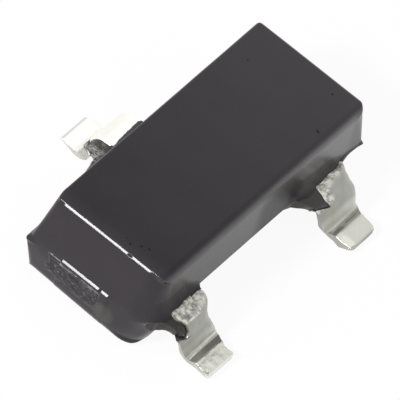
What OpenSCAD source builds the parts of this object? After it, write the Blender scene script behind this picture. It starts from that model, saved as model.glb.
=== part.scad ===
// A small three-lead diode in a moulded package for surface mounting.
// X runs along the long sides, +Y points to the side with one lead, and Z is up.
// The origin is under the middle of the package, on the plane of the soles.

/* [Moulded body] */
// Length of the body at the parting line
body_l = 2.92; // [2.80:0.02:3.04]
// Width of the body at the parting line
body_w = 1.26; // [1.20:0.02:1.38]
// Height of the upper half above the parting line
upper_h = 0.53; // [0.48:0.01:0.60]
// Height of the lower half below the parting line
lower_h = 0.37; // [0.34:0.01:0.42]
// Gap between the soles and the underside of the body
standoff = 0.05; // [0.02:0.01:0.10]
// Slope of the long sides above the parting line, in degrees
upper_side_draft = 10; // [6:1:12]
// Slope of the end faces above the parting line, in degrees
upper_end_draft = 8; // [6:1:12]
// Slope of the long sides below the parting line, in degrees
lower_side_draft = 15; // [6:1:17]
// Slope of the end faces below the parting line, in degrees
lower_end_draft = 11; // [6:1:17]
// Height of the upright band at the parting line, on each half
land_h = 0.012; // [0.008:0.002:0.02]
// Radius of the edges round the top and the underside
edge_r = 0.035; // [0.02:0.005:0.05]
// Radius of the four corners at the parting line
corner_r = 0.07; // [0.05:0.01:0.10]

/* [Mould marks] */
// Width of the broken-off gate on the end face
gate_w = 0.52; // [0.30:0.02:0.70]
// Height of the broken-off gate below the parting line
gate_h = 0.17; // [0.10:0.01:0.26]
// Shift of the gate towards the side with one lead
gate_shift = 0.02; // [-0.10:0.01:0.10]
// Thickness of the flash beside the two leads
flash_t = 0.05; // [0.03:0.01:0.08]
// Length of the flash along the side of the body
flash_l = 0.24; // [0.16:0.01:0.30]
// Length of the flash at its outer end
flash_tip_l = 0.13; // [0.05:0.01:0.15]
// Reach of the flash out from the side of the body
flash_reach = 0.14; // [0.08:0.01:0.15]

/* [Leads] */
// Distance between the middles of the two leads on one side
pitch = 1.92; // [1.86:0.01:1.96]
// Span over the toes of opposite leads
lead_span = 2.34; // [2.30:0.01:2.60]
// Thickness of the lead frame
lead_t = 0.10; // [0.09:0.005:0.12]
// Drop of the lead frame's middle below the parting line
frame_drop = 0.035; // [0.00:0.005:0.05]
// Width of a lead where it leaves the body
shoulder_w = 0.38; // [0.34:0.01:0.46]
// Length of the flat shoulder outside the body
shoulder_l = 0.05; // [0.03:0.005:0.07]
// Reach of the cut tie bar past the lead's left edge
stub_left = 0.13; // [0.08:0.01:0.16]
// Reach of the cut tie bar past the lead's right edge
stub_right = 0.03; // [0.01:0.01:0.08]
// Turn of the upper bend at which the stubs start, in degrees
stub_turn = 50; // [35:1:56]
// Width of the foot
foot_w = 0.35; // [0.32:0.01:0.38]
// Shift of the foot to the left of the lead's middle
foot_shift = 0.02; // [0.00:0.01:0.04]
// Turn of each bend, which is the slope of the leg, in degrees
lead_turn = 66; // [60:1:70]
// Inside radius of the bends
bend_r = 0.095; // [0.08:0.005:0.11]
// Length of the leg at the full width of the stubs
leg_wide_l = 0.09; // [0.03:0.01:0.11]

/* [Lead frame inside] */
// Length of the bonding post along the body
post_l = 0.60; // [0.46:0.01:0.64]
// Depth of the bonding post across the body
post_d = 0.26; // [0.20:0.01:0.28]
// Distance from the middle of the lead to the outer edge of its post
post_out = 0.24; // [0.21:0.01:0.28]
// Distance from the body's middle line to the inner edge of the posts
post_inset = 0.18; // [0.14:0.01:0.20]
// Gap between the posts and the paddle
frame_gap = 0.14; // [0.10:0.01:0.20]
// Length of the paddle that carries the chips
paddle_l = 1.24; // [1.16:0.02:1.36]
// Depth of the paddle
paddle_d = 0.42; // [0.38:0.01:0.46]

/* [Chips and wires] */
// Edge of the square chip
chip_w = 0.28; // [0.22:0.01:0.32]
// Thickness of the chip
chip_h = 0.12; // [0.08:0.01:0.15]
// Distance between the middles of the chips
chip_spacing = 0.72; // [0.60:0.02:0.78]
// Border of die-attach solder outside the chip
attach_rim = 0.02; // [0.01:0.005:0.03]
// Thickness of the die-attach solder
attach_t = 0.012; // [0.01:0.001:0.02]
// Diameter of the metal contact on the chip
contact_d = 0.15; // [0.12:0.01:0.18]
// Thickness of the metal contact
contact_t = 0.012; // [0.008:0.001:0.016]
// Diameter of the bond wire
wire_d = 0.025; // [0.02:0.001:0.035]
// Diameter of the squeezed ball at the start of the wire
ball_d = 0.07; // [0.055:0.005:0.09]
// Thickness of the squeezed ball
ball_h = 0.02; // [0.015:0.001:0.025]
// Height of the upright start of the wire above the ball
neck_h = 0.07; // [0.04:0.01:0.10]
// Radius of the loop at the top of the wire, to its middle line
loop_r = 0.05; // [0.035:0.005:0.065]
// Diameter of the flattened end of the wire
stitch_d = 0.06; // [0.045:0.005:0.08]
// Thickness of the flattened end of the wire
stitch_h = 0.010; // [0.008:0.001:0.014]
// Distance from the middle of the lead to the flattened end of the wire
stitch_shift = 0.12; // [0.06:0.01:0.20]

/* [Hidden] */
left = -1;
right = 1;
// Facets of the small rounded corners, which are hulled
corner_facets = 24;
// Points along the quarter circle of a rounded edge
edge_steps = 4;
// Facets of each stretch of a bend
bend_steps = 8;
// Facets asked for where a surface is round
round_facets = 64;

// Heights
parting_z = standoff + lower_h;
frame_z = parting_z - frame_drop;
frame_bottom_z = frame_z - lead_t / 2;
frame_top_z = frame_z + lead_t / 2;
chip_z = frame_top_z + attach_t;
contact_z = chip_z + chip_h;
ball_z = contact_z + contact_t;

// Run of a lead from its shoulder to its toe, as [distance from the middle, height]
bend_middle_r = bend_r + lead_t / 2;
shoulder_end = body_w / 2 + shoulder_l;
upper_centre = [shoulder_end, frame_z - bend_middle_r];
turn_vector = [sin(lead_turn), cos(lead_turn)];
leg_vector = [cos(lead_turn), -sin(lead_turn)];
leg_drop = frame_z - lead_t / 2 - 2 * bend_middle_r * (1 - cos(lead_turn));
leg_l = leg_drop / sin(lead_turn);
leg_start = upper_centre + bend_middle_r * turn_vector;
lower_centre = leg_start + leg_l * leg_vector + bend_middle_r * turn_vector;
toe = lead_span / 2;
taper_top_z = leg_start.y - leg_wide_l * sin(lead_turn);
taper_bottom_z = leg_start.y - leg_l * sin(lead_turn);

// Edges of a lead, as [left, right] of its middle
shoulder_edges = [-shoulder_w / 2, shoulder_w / 2];
stub_edges = shoulder_edges + [-stub_left, stub_right];
foot_edges = [-foot_w / 2 - foot_shift, foot_w / 2 - foot_shift];

// Plan of the lead frame
lead_x = pitch / 2;
paddle_edge = frame_gap - post_inset;
chip_y = paddle_edge + paddle_d / 2;
chip_x = chip_spacing / 2;

// Route of the bond wire in its own upright plane, as [distance, height above the ball]
stitch_x = lead_x - stitch_shift;
stitch_y = -(post_inset + post_d / 2);
wire_reach = norm([stitch_x - chip_x, stitch_y - chip_y]);
wire_heading = atan2(stitch_y - chip_y, stitch_x - chip_x);
loop_z = ball_h + neck_h;
stitch_drop = loop_z + ball_z - frame_top_z;
loop_to_stitch = norm([wire_reach - loop_r, stitch_drop]);
slope_l = sqrt(loop_to_stitch * loop_to_stitch - loop_r * loop_r);
slope_turn = atan2(stitch_drop, wire_reach - loop_r) + atan2(loop_r, slope_l);

// Places its children at the left or the right end of the body
module at_side(side) {
    mirror([side == right ? 1 : 0, 0, 0]) children();
}

// Small disc with a rounded upper edge, which a corner of the body is hulled from
module corner_button() {
    rotate_extrude($fn = corner_facets)
        polygon(concat([[0, 0], [edge_r, 0]],
            [for (i = [1 : edge_steps])
                edge_r * [cos(90 * i / edge_steps), sin(90 * i / edge_steps)]]));
}

// Places its children at the four corners of a rectangle
module at_corners(length, width) {
    for (x = [-length / 2, length / 2], y = [-width / 2, width / 2])
        translate([x, y, 0]) children();
}

// Four rounded corners of one half, at its height above or below the parting line
module half_corners(height, end_draft, side_draft) {
    end_inset = (height - land_h) * tan(end_draft) + edge_r;
    side_inset = (height - land_h) * tan(side_draft) + edge_r;
    translate([0, 0, height - edge_r])
        at_corners(body_l - 2 * end_inset, body_w - 2 * side_inset)
            corner_button();
}

// Plain moulding, whose sides slope away from the upright band at the parting line
module moulding() {
    translate([0, 0, parting_z])
        hull() {
            at_corners(body_l - 2 * corner_r, body_w - 2 * corner_r)
                cylinder(r = corner_r, h = 2 * land_h, center = true, $fn = corner_facets);
            half_corners(upper_h, upper_end_draft, upper_side_draft);
            mirror([0, 0, 1])
                half_corners(lower_h, lower_end_draft, lower_side_draft);
        }
}

// Rest of the gate on the end face, upright where the face slopes away
module gate_remnant() {
    gate_run = lower_h * tan(lower_end_draft) + edge_r;
    translate([-body_l / 2, gate_shift - gate_w / 2, parting_z - gate_h])
        cube([gate_run, gate_w, gate_h]);
}

// Thin web of moulding between the side of the body and a lead's shoulder.
// It starts on the flat of the side, past the rounded corner.
module flash_web(middle) {
    shoulder_x = middle + shoulder_edges[0];
    start_x = max(shoulder_x - flash_l, corner_r - body_l / 2);
    side_y = -body_w / 2;
    translate([0, 0, frame_z])
        linear_extrude(flash_t, center = true)
            polygon([[shoulder_x, side_y + corner_r], [start_x, side_y + corner_r],
                [start_x, side_y], [shoulder_x - flash_tip_l, side_y - flash_reach],
                [shoulder_x, side_y - flash_reach]]);
}

// Points of one skin of the upper bend, between two turns
function upper_arc(from, to, radius) =
    [for (i = [0 : bend_steps])
        let (turn = from + (to - from) * i / bend_steps)
        upper_centre + radius * [sin(turn), cos(turn)]];

// Points of one skin of the lower bend, between two turns
function lower_arc(from, to, radius) =
    [for (i = [0 : bend_steps])
        let (turn = from + (to - from) * i / bend_steps)
        lower_centre - radius * [sin(turn), cos(turn)]];

// Stretch of a lead with straight edges, from its side view
module strip(side_view, edges) {
    translate([edges[0], 0, 0])
        rotate([90, 0, 90])
            linear_extrude(edges[1] - edges[0])
                polygon(side_view);
}

// Narrow stretch of a lead, from inside the body to the cut tie bar
module narrow_strip(start) {
    strip(concat([[start, frame_bottom_z], [start, frame_top_z]],
        upper_arc(0, stub_turn, bend_r + lead_t),
        upper_arc(stub_turn, 0, bend_r)), shoulder_edges);
}

// Front view of the leg, which narrows from the cut tie bar to the foot
module leg_front_view() {
    translate([0, toe, 0])
        rotate([90, 0, 0])
            linear_extrude(toe)
                polygon([[stub_edges[0], frame_top_z], [stub_edges[0], taper_top_z],
                    [foot_edges[0], taper_bottom_z], [foot_edges[0], -lead_t],
                    [foot_edges[1], -lead_t], [foot_edges[1], taper_bottom_z],
                    [stub_edges[1], taper_top_z], [stub_edges[1], frame_top_z]]);
}

// Gull wing of a lead along +Y, from its start inside the body to its toe
module gull_wing(start) {
    narrow_strip(start);
    intersection() {
        strip(concat(upper_arc(stub_turn, lead_turn, bend_r + lead_t),
            lower_arc(lead_turn, 0, bend_r), [[toe, lead_t], [toe, 0]],
            lower_arc(0, lead_turn, bend_r + lead_t),
            upper_arc(lead_turn, stub_turn, bend_r)), stub_edges);
        leg_front_view();
    }
}

// Anode lead with its bonding post, which reaches towards the middle of the body
module anode_lead(side) {
    translate([side * lead_x, 0, 0]) mirror([0, 1, 0]) {
        gull_wing(post_inset);
        at_side(side) translate([-post_out, post_inset, frame_bottom_z])
            cube([post_l, post_d, lead_t]);
    }
}

// Square block centred where a chip sits, for the chip and for the solder under it
module square_block(side, width, height, z) {
    translate([side * chip_x - width / 2, chip_y - width / 2, z])
        cube([width, width, height]);
}

module die_attach(side) {
    color("lightslategray")
        square_block(side, chip_w + 2 * attach_rim, attach_t, frame_top_z);
}

module chip(side) {
    color("slategray") square_block(side, chip_w, chip_h, chip_z);
}

module contact(side) {
    color("gold")
        translate([side * chip_x, chip_y, contact_z])
            cylinder(d = contact_d, h = contact_t, $fn = round_facets);
}

// Wire from the ball on the chip, up, over its loop and down to the post
module wire_run() {
    cylinder(d = ball_d, h = ball_h, $fn = round_facets);
    translate([0, 0, ball_h])
        cylinder(d = wire_d, h = neck_h, $fn = round_facets);
    translate([loop_r, 0, loop_z]) rotate([90, 0, 0]) {
        rotate([0, 0, 90 - slope_turn])
            rotate_extrude(angle = 90 + slope_turn, $fn = round_facets)
                translate([loop_r, 0]) circle(d = wire_d, $fn = round_facets);
        rotate([0, 0, -slope_turn]) translate([0, loop_r, 0]) rotate([0, 90, 0])
            cylinder(d = wire_d, h = slope_l + wire_d, $fn = round_facets);
    }
    translate([wire_reach, 0, frame_top_z - ball_z])
        cylinder(d = stitch_d, h = stitch_h, $fn = round_facets);
}

module bond_wire(side) {
    color("goldenrod")
        at_side(-side)
            translate([chip_x, chip_y, ball_z])
                rotate([0, 0, wire_heading])
                    difference() {
                        wire_run();
                        translate([wire_reach - stitch_d, -stitch_d / 2, frame_top_z - ball_z - lead_t])
                            cube([2 * stitch_d, stitch_d, lead_t]);
                    }
}

module lead_1() {
    color("silver") anode_lead(left);
}

module lead_2() {
    color("silver") anode_lead(right);
}

// Cathode lead with the paddle under both chips
module lead_3() {
    color("silver") {
        gull_wing(paddle_edge);
        translate([-paddle_l / 2, paddle_edge, frame_bottom_z])
            cube([paddle_l, paddle_d, lead_t]);
    }
}

// Everything that the moulding is cast around
module embedded_pieces() {
    lead_1();
    lead_2();
    lead_3();
    for (side = [left, right]) {
        die_attach(side);
        chip(side);
        contact(side);
        bond_wire(side);
    }
}

module moulded_body() {
    color([0.27, 0.26, 0.27])
        difference() {
            union() {
                moulding();
                gate_remnant();
                flash_web(-lead_x);
                flash_web(lead_x);
            }
            embedded_pieces();
        }
}

moulded_body();
lead_1();
lead_2();
lead_3();
die_attach(left);  // die_attach_1
die_attach(right);  // die_attach_2
chip(left);  // chip_1
chip(right);  // chip_2
contact(left);  // contact_1
contact(right);  // contact_2
bond_wire(left);  // bond_wire_1
bond_wire(right);  // bond_wire_2
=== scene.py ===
"""Small three-lead diode in a moulded package, seen close up on a pale table.

Surfaces are worked out in millimetres with numpy and go into meshes in metres. +X runs along the long
sides, +Y points to the side with one lead, +Z is up, and the soles of the leads are at height 0.
"""
import functools
import math

import bpy
import numpy as np
from mathutils import Matrix, Vector


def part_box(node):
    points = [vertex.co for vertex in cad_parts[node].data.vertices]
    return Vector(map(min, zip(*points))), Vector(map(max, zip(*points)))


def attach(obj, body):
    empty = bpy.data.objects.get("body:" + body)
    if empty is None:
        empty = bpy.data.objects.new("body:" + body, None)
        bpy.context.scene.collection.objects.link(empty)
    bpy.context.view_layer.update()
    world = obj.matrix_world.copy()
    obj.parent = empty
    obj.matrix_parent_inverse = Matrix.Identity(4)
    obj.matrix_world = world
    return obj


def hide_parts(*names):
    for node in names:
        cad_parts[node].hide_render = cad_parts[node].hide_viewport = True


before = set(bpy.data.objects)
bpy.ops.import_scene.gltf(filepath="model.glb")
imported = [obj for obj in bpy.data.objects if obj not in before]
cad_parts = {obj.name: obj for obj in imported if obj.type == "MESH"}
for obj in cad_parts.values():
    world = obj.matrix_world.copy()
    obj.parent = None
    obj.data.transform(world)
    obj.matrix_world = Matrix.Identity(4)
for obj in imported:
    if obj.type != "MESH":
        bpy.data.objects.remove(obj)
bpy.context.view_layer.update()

MM = 0.001
body_low, body_high = (np.array(corner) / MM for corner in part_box("moulded_body"))
HALF_LENGTH, HALF_WIDTH, TOP_HEIGHT = body_high


# Camera

# The photograph's view, through a long lens from the near left, turned about its own axis
CAMERA_AZIMUTH = -69.69
CAMERA_ELEVATION = 49.14
CAMERA_ROLL = 22.76
CAMERA_DISTANCE = 120.0
PIXELS_PER_MM = 123.21
FRAME_PIXELS = 400
SENSOR_WIDTH = 36.0
# Pixel at which the point half a millimetre above the origin is seen
ANCHOR_HEIGHT = 0.5
ANCHOR_PIXEL = (196.15, 183.04)


def view_axes():
    """Right, up and back vectors of the camera. Back points from the object to the camera, at its
    azimuth and elevation; right and up are turned about it by the roll."""
    azimuth, elevation, roll = (math.radians(a) for a in (CAMERA_AZIMUTH, CAMERA_ELEVATION, CAMERA_ROLL))
    back = Vector((math.sin(azimuth) * math.cos(elevation),
                   -math.cos(azimuth) * math.cos(elevation), math.sin(elevation)))
    level = Vector((math.cos(azimuth), math.sin(azimuth), 0))
    upright = back.cross(level)
    right = level * math.cos(roll) + upright * math.sin(roll)
    up = upright * math.cos(roll) - level * math.sin(roll)
    return right, up, back


def place_camera():
    """Camera whose image has the anchor point at its pixel, at the photograph's scale."""
    right, up, back = view_axes()
    centre_pixel = FRAME_PIXELS / 2
    target = (Vector((0, 0, ANCHOR_HEIGHT))
              + right * ((centre_pixel - ANCHOR_PIXEL[0]) / PIXELS_PER_MM)
              - up * ((centre_pixel - ANCHOR_PIXEL[1]) / PIXELS_PER_MM))
    data = bpy.data.cameras.new("camera")
    data.sensor_width = SENSOR_WIDTH
    data.lens = SENSOR_WIDTH * CAMERA_DISTANCE * PIXELS_PER_MM / FRAME_PIXELS
    data.clip_start = CAMERA_DISTANCE * MM / 10
    data.clip_end = CAMERA_DISTANCE * MM * 10
    camera = bpy.data.objects.new("camera", data)
    bpy.context.scene.collection.objects.link(camera)
    turn = Matrix((right, up, back)).transposed()
    camera.matrix_world = Matrix.Translation((target + back * CAMERA_DISTANCE) * MM) @ turn.to_4x4()
    bpy.context.scene.camera = camera


place_camera()


# Numbers that vary over a surface

def ramp(value, start, end):
    """0 up to start, 1 past end, and 3t^2 - 2t^3 of the share t of the way between them. It falls as the
    value grows where start is above end."""
    t = np.clip((value - start) / (end - start), 0.0, 1.0)
    return t * t * (3 - 2 * t)


def band(value, low, high, soft):
    """1 between low and high, and 0 outside, with soft sides."""
    return ramp(value, low - soft, low + soft) * ramp(value, high + soft, high - soft)


def bell(distance, width):
    """1 at no distance, and falling with the square of the distance over the width."""
    return np.exp(-(distance / width) ** 2)


def piecewise(pairs, places):
    """Value at each place, from pairs of (place, value) joined by straight lines."""
    return np.interp(places, *np.array(pairs).T)


# Large odd factors that mix whole numbers, and the bits that are kept of them
MIXERS = (374761393, 668265263, 1274126177, 144665)
STIRRERS = (1103515245, 668265263)
KEPT_BITS = 0xFFFFFFFF
VALUE_BITS = 0xFFFF


def lattice_value(column, row, layer, seed):
    """Number from -1 to 1 for each lattice point: its whole numbers are mixed by large odd factors."""
    mixed = sum(number * factor for number, factor in zip((column, row, layer, seed), MIXERS)) & KEPT_BITS
    mixed = ((mixed ^ (mixed >> 13)) * STIRRERS[0]) & KEPT_BITS
    mixed = ((mixed ^ (mixed >> 15)) * STIRRERS[1]) & KEPT_BITS
    return 2 * ((mixed ^ (mixed >> 16)) & VALUE_BITS) / VALUE_BITS - 1.0


def noise(points, cell, seed):
    """Value noise from -1 to 1: the eight lattice values round each point, blended by smooth steps.
    cell is the size of a lattice cell, one number or one for each axis."""
    scaled = points / np.asarray(cell, float)
    corner = np.floor(scaled).astype(np.int64)
    share = ramp(scaled - corner, 0.0, 1.0)
    total = np.zeros(len(points))
    for dx in (0, 1):
        for dy in (0, 1):
            for dz in (0, 1):
                weight = ((share[:, 0] if dx else 1 - share[:, 0])
                          * (share[:, 1] if dy else 1 - share[:, 1])
                          * (share[:, 2] if dz else 1 - share[:, 2]))
                total += weight * lattice_value(corner[:, 0] + dx, corner[:, 1] + dy, corner[:, 2] + dz, seed)
    return total


def fractal(points, cell, octaves, seed):
    """Sum of noises, each of half the cell and half the height of the one before, from about -1 to 1."""
    cell = np.asarray(cell, float)
    heights = 0.5 ** np.arange(octaves)
    return sum(height * noise(points, cell * height, seed + 7 * k)
               for k, height in enumerate(heights)) / heights.sum()


def spot(points, middle, radius):
    """Bell that is 1 at the middle and falls with the square of the distance over the radius."""
    return bell(np.linalg.norm(points - np.asarray(middle), axis=1), radius)


# Meshes from grids

def coons_patch(south, north, west, east):
    """Patch between four curves that share their ends: the straight blends of the two pairs are added
    and the straight blend of the four corners is taken away."""
    u = np.linspace(0, 1, len(south))[None, :, None]
    v = np.linspace(0, 1, len(west))[:, None, None]
    corners = ((1 - v) * ((1 - u) * south[0] + u * south[-1])
               + v * ((1 - u) * north[0] + u * north[-1]))
    return (1 - v) * south[None] + v * north[None] + (1 - u) * west[:, None] + u * east[:, None] - corners


def end_cap(ring, first, wide, narrow, fresh):
    """Patch that closes a ring of points. The ring's sides have wide, narrow, wide and narrow steps, in
    turn. Border points keep the ring's numbers from first on, and inner ones are numbered from fresh."""
    closed = np.concatenate([ring, ring[:1]])
    south = closed[:wide + 1]
    east = closed[wide:wide + narrow + 1]
    north = closed[wide + narrow:2 * wide + narrow + 1][::-1]
    west = closed[2 * wide + narrow:][::-1]
    patch = coons_patch(south, north, west, east)
    count = len(ring)
    number = np.zeros(patch.shape[:2], np.int64)
    number[0] = first + np.arange(wide + 1)
    number[:, -1] = first + wide + np.arange(narrow + 1)
    number[-1] = (first + (wide + narrow + np.arange(wide + 1)) % count)[::-1]
    number[:, 0] = (first + (2 * wide + narrow + np.arange(narrow + 1)) % count)[::-1]
    inner = number[1:-1, 1:-1]
    number[1:-1, 1:-1] = fresh + np.arange(inner.size).reshape(inner.shape)
    quads = np.stack([number[:-1, :-1], number[:-1, 1:], number[1:, 1:], number[1:, :-1]], axis=-1)
    return patch[1:-1, 1:-1].reshape(-1, 3), quads.reshape(-1, 4)


def closed_tube(rings, wide, narrow):
    """Closed surface over rows of rings, with a patch over the first and the last ring."""
    rows, count = rings.shape[:2]
    number = np.arange(rows * count).reshape(rows, count)
    following = np.roll(number, -1, axis=1)
    wall = np.stack([number[:-1], following[:-1], following[1:], number[1:]], axis=-1).reshape(-1, 4)
    start, start_quads = end_cap(rings[0], 0, wide, narrow, rows * count)
    end, end_quads = end_cap(rings[-1], number[-1, 0], wide, narrow, rows * count + len(start))
    points = np.concatenate([rings.reshape(-1, 3), start, end])
    return points, outward(points, np.concatenate([wall, start_quads[:, ::-1], end_quads]))


def outward(points, quads):
    """Turns all faces round if the volume that they enclose comes out negative."""
    a, b, c, d = (points[quads[:, k]] for k in range(4))
    volume = (a * np.cross(b, c)).sum() + (a * np.cross(c, d)).sum()
    return quads if volume > 0 else quads[:, ::-1]


# Length under which a sum of face normals counts as this length
LEAST_NORMAL = 1e-12


def point_normals(points, quads):
    """Unit normal at each point: the mean of its faces' normals, each weighed by its face's area."""
    diagonals = np.cross(points[quads[:, 2]] - points[quads[:, 0]], points[quads[:, 3]] - points[quads[:, 1]])
    total = np.stack([np.bincount(quads.ravel(), np.repeat(diagonals[:, axis], 4), len(points))
                      for axis in range(3)], axis=1)
    return total / np.maximum(np.linalg.norm(total, axis=1), LEAST_NORMAL)[:, None]


def joined(*parts):
    """One mesh from several (points, quads), with the later faces renumbered."""
    starts = np.cumsum([0] + [len(points) for points, _ in parts[:-1]])
    return (np.concatenate([points for points, _ in parts]),
            np.concatenate([quads + start for (_, quads), start in zip(parts, starts)]))


def make_piece(name, points, quads, finish, marks=None):
    """Smooth mesh object in metres, which rides on the part. marks are numbers for each point, which
    its finish reads by name."""
    mesh = bpy.data.meshes.new(name)
    mesh.vertices.add(len(points))
    mesh.vertices.foreach_set("co", (points * MM).astype(np.float32).ravel())
    mesh.loops.add(quads.size)
    mesh.loops.foreach_set("vertex_index", quads.astype(np.int32).ravel())
    mesh.polygons.add(len(quads))
    mesh.polygons.foreach_set("loop_start", np.arange(0, quads.size, 4, dtype=np.int32))
    mesh.polygons.foreach_set("use_smooth", np.ones(len(quads), bool))
    mesh.update(calc_edges=True)
    for mark, values in (marks or {}).items():
        layer = mesh.attributes.new(mark, "FLOAT", "POINT")
        layer.data.foreach_set("value", values.astype(np.float32))
    mesh.materials.append(finish)
    piece = bpy.data.objects.new(name, mesh)
    bpy.context.scene.collection.objects.link(piece)
    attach(piece, "root")
    return piece


# Shader arithmetic

class Signal:
    """A shader socket that takes part in arithmetic. Each operator adds one Math node."""

    def __init__(self, nodes, socket):
        self.nodes = nodes
        self.socket = socket

    def math(self, operation, first, second):
        return self.nodes.add("ShaderNodeMath", {"operation": operation}, {0: first, 1: second})

    def __add__(self, other):
        return self.math("ADD", self, other)

    def __radd__(self, other):
        return self.math("ADD", other, self)

    def __sub__(self, other):
        return self.math("SUBTRACT", self, other)

    def __rsub__(self, other):
        return self.math("SUBTRACT", other, self)

    def __mul__(self, other):
        return self.math("MULTIPLY", self, other)

    def __rmul__(self, other):
        return self.math("MULTIPLY", other, self)

    def larger(self, other):
        return self.math("MAXIMUM", self, other)

    def step(self, low, high):
        """0 below low, 1 above high, and a smooth step between them."""
        return self.nodes.add("ShaderNodeMapRange", {"interpolation_type": "SMOOTHSTEP"},
                              {"Value": self, "From Min": low, "From Max": high})

    def step_mm(self, low, high):
        """The same step between two places in millimetres."""
        return self.step(low * MM, high * MM)


def largest(signals):
    """Largest of several signals."""
    return functools.reduce(Signal.larger, signals)


class Nodes:
    """A node tree that is filled by calls."""

    def __init__(self, tree):
        self.tree = tree
        tree.nodes.clear()

    def add(self, kind, settings=None, inputs=None, output=0):
        """Adds a node, sets it, and fills its sockets with numbers, colours or signals."""
        node = self.tree.nodes.new(kind)
        for name, value in (settings or {}).items():
            setattr(node, name, value)
        for name, value in (inputs or {}).items():
            if isinstance(value, Signal):
                self.tree.links.new(value.socket, node.inputs[name])
            else:
                node.inputs[name].default_value = value
        return Signal(self, node.outputs[output]) if node.outputs else None

    def mix(self, share, first, second):
        """Colour between the first, at share 0, and the second, at share 1."""
        return self.add("ShaderNodeMix", {"data_type": "RGBA"}, {0: share, 6: first, 7: second}, output=2)

    def coordinates(self):
        return self.add("ShaderNodeTexCoord", output="Object")

    def axis(self, coordinates, number):
        """One of the three coordinates, by its number from 0."""
        return self.add("ShaderNodeSeparateXYZ", inputs={0: coordinates}, output=number)

    def ray(self, kind):
        """1 for rays of one kind, and 0 for the rest."""
        return self.add("ShaderNodeLightPath", output=kind)

    def stretched(self, coordinates, scale):
        """Coordinates scaled apart along the three axes, which draws a pattern out."""
        return self.add("ShaderNodeVectorMath", {"operation": "MULTIPLY"}, {0: coordinates, 1: scale})

    def grain(self, coordinates, size, detail=2.0, roughness=0.5):
        """Noise from 0 to 1 with cells of a size in millimetres."""
        return self.add("ShaderNodeTexNoise", inputs={
            "Vector": coordinates, "Scale": 1 / (size * MM), "Detail": detail, "Roughness": roughness})

    def mark(self, name):
        """Numbers that a mesh carries at its points."""
        return self.add("ShaderNodeAttribute", {"attribute_name": name}, output="Fac")

    def spot(self, coordinates, middle, radius):
        """1 within half a radius of a middle, and 0 beyond the radius, both in millimetres."""
        distance = self.add("ShaderNodeVectorMath", {"operation": "DISTANCE"},
                            {0: coordinates, 1: [place * MM for place in middle]}, output=1)
        return 1 - distance.step_mm(radius / 2, radius)

    def bump(self, height, depth):
        """Normal of a surface that the height from 0 to 1 raises by a depth in millimetres."""
        return self.add("ShaderNodeBump", inputs={"Height": height, "Distance": depth * MM, "Strength": 1.0})


# Black of the painted shade in pits, cracks and one shaded edge
PAINTED_SHADE_TONE = (0.006, 0.006, 0.006, 1)


def make_finish(name, fixed, varied):
    """Material with one principled shader. fixed are constants for its sockets, and varied is a function
    of the nodes that gives signals for the rest. Its signal for painted shade, if there is one, is the share
    of pits, cracks and edges that is painted dark as shade, by mixing in a black diffuse shader."""
    material = bpy.data.materials.new(name)
    material.use_nodes = True
    nodes = Nodes(material.node_tree)
    signals = varied(nodes)
    painted_shade = signals.pop("painted_shade", None)
    shader = nodes.add("ShaderNodeBsdfPrincipled", inputs={**fixed, **signals})
    if painted_shade is not None:
        dark = nodes.add("ShaderNodeBsdfDiffuse", inputs={"Color": PAINTED_SHADE_TONE})
        shader = nodes.add("ShaderNodeMixShader", inputs={0: painted_shade, 1: shader, 2: dark})
    nodes.add("ShaderNodeOutputMaterial", inputs={"Surface": shader})
    return material


# Finishes

# Pits in the top, drawn only as painted shade: place in plan and radius
TOP_PITS = [(-1.283, -0.157, 0.013), (-1.232, -0.235, 0.012), (-1.205, -0.298, 0.012),
            (-1.258, -0.106, 0.007), (-1.246, -0.277, 0.007), (0.850, -0.480, 0.014),
            (0.842, -0.496, 0.012), (1.253, -0.330, 0.013), (0.979, 0.361, 0.009)]
# Olive stain low on the near end: place and radius
STAIN = ((-1.45, -0.226, 0.255), 0.13)
# Places along the body between which the near end's lighter tone, which is painted light, fades out
NEAR_END_FADE = (-1.44, -1.20)
# Heights between which the pale streaks of the gate's scar, which are painted highlights, come in, and go out
# again
STREAKS_IN = (0.38, 0.43)
STREAKS_OUT = (0.448, 0.438)
NEAR_END_LIGHT_TONE = (0.040, 0.035, 0.042, 1)
STAIN_TONE = (0.072, 0.072, 0.055, 1)
FILLER_TONE = (0.2, 0.19, 0.18, 1)
CRUMB_TONE = (0.42, 0.41, 0.39, 1)
STREAK_HIGHLIGHT_TONE = (0.50, 0.49, 0.47, 1)
CRUMBLED_TONE = (0.27, 0.26, 0.24, 1)


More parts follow.
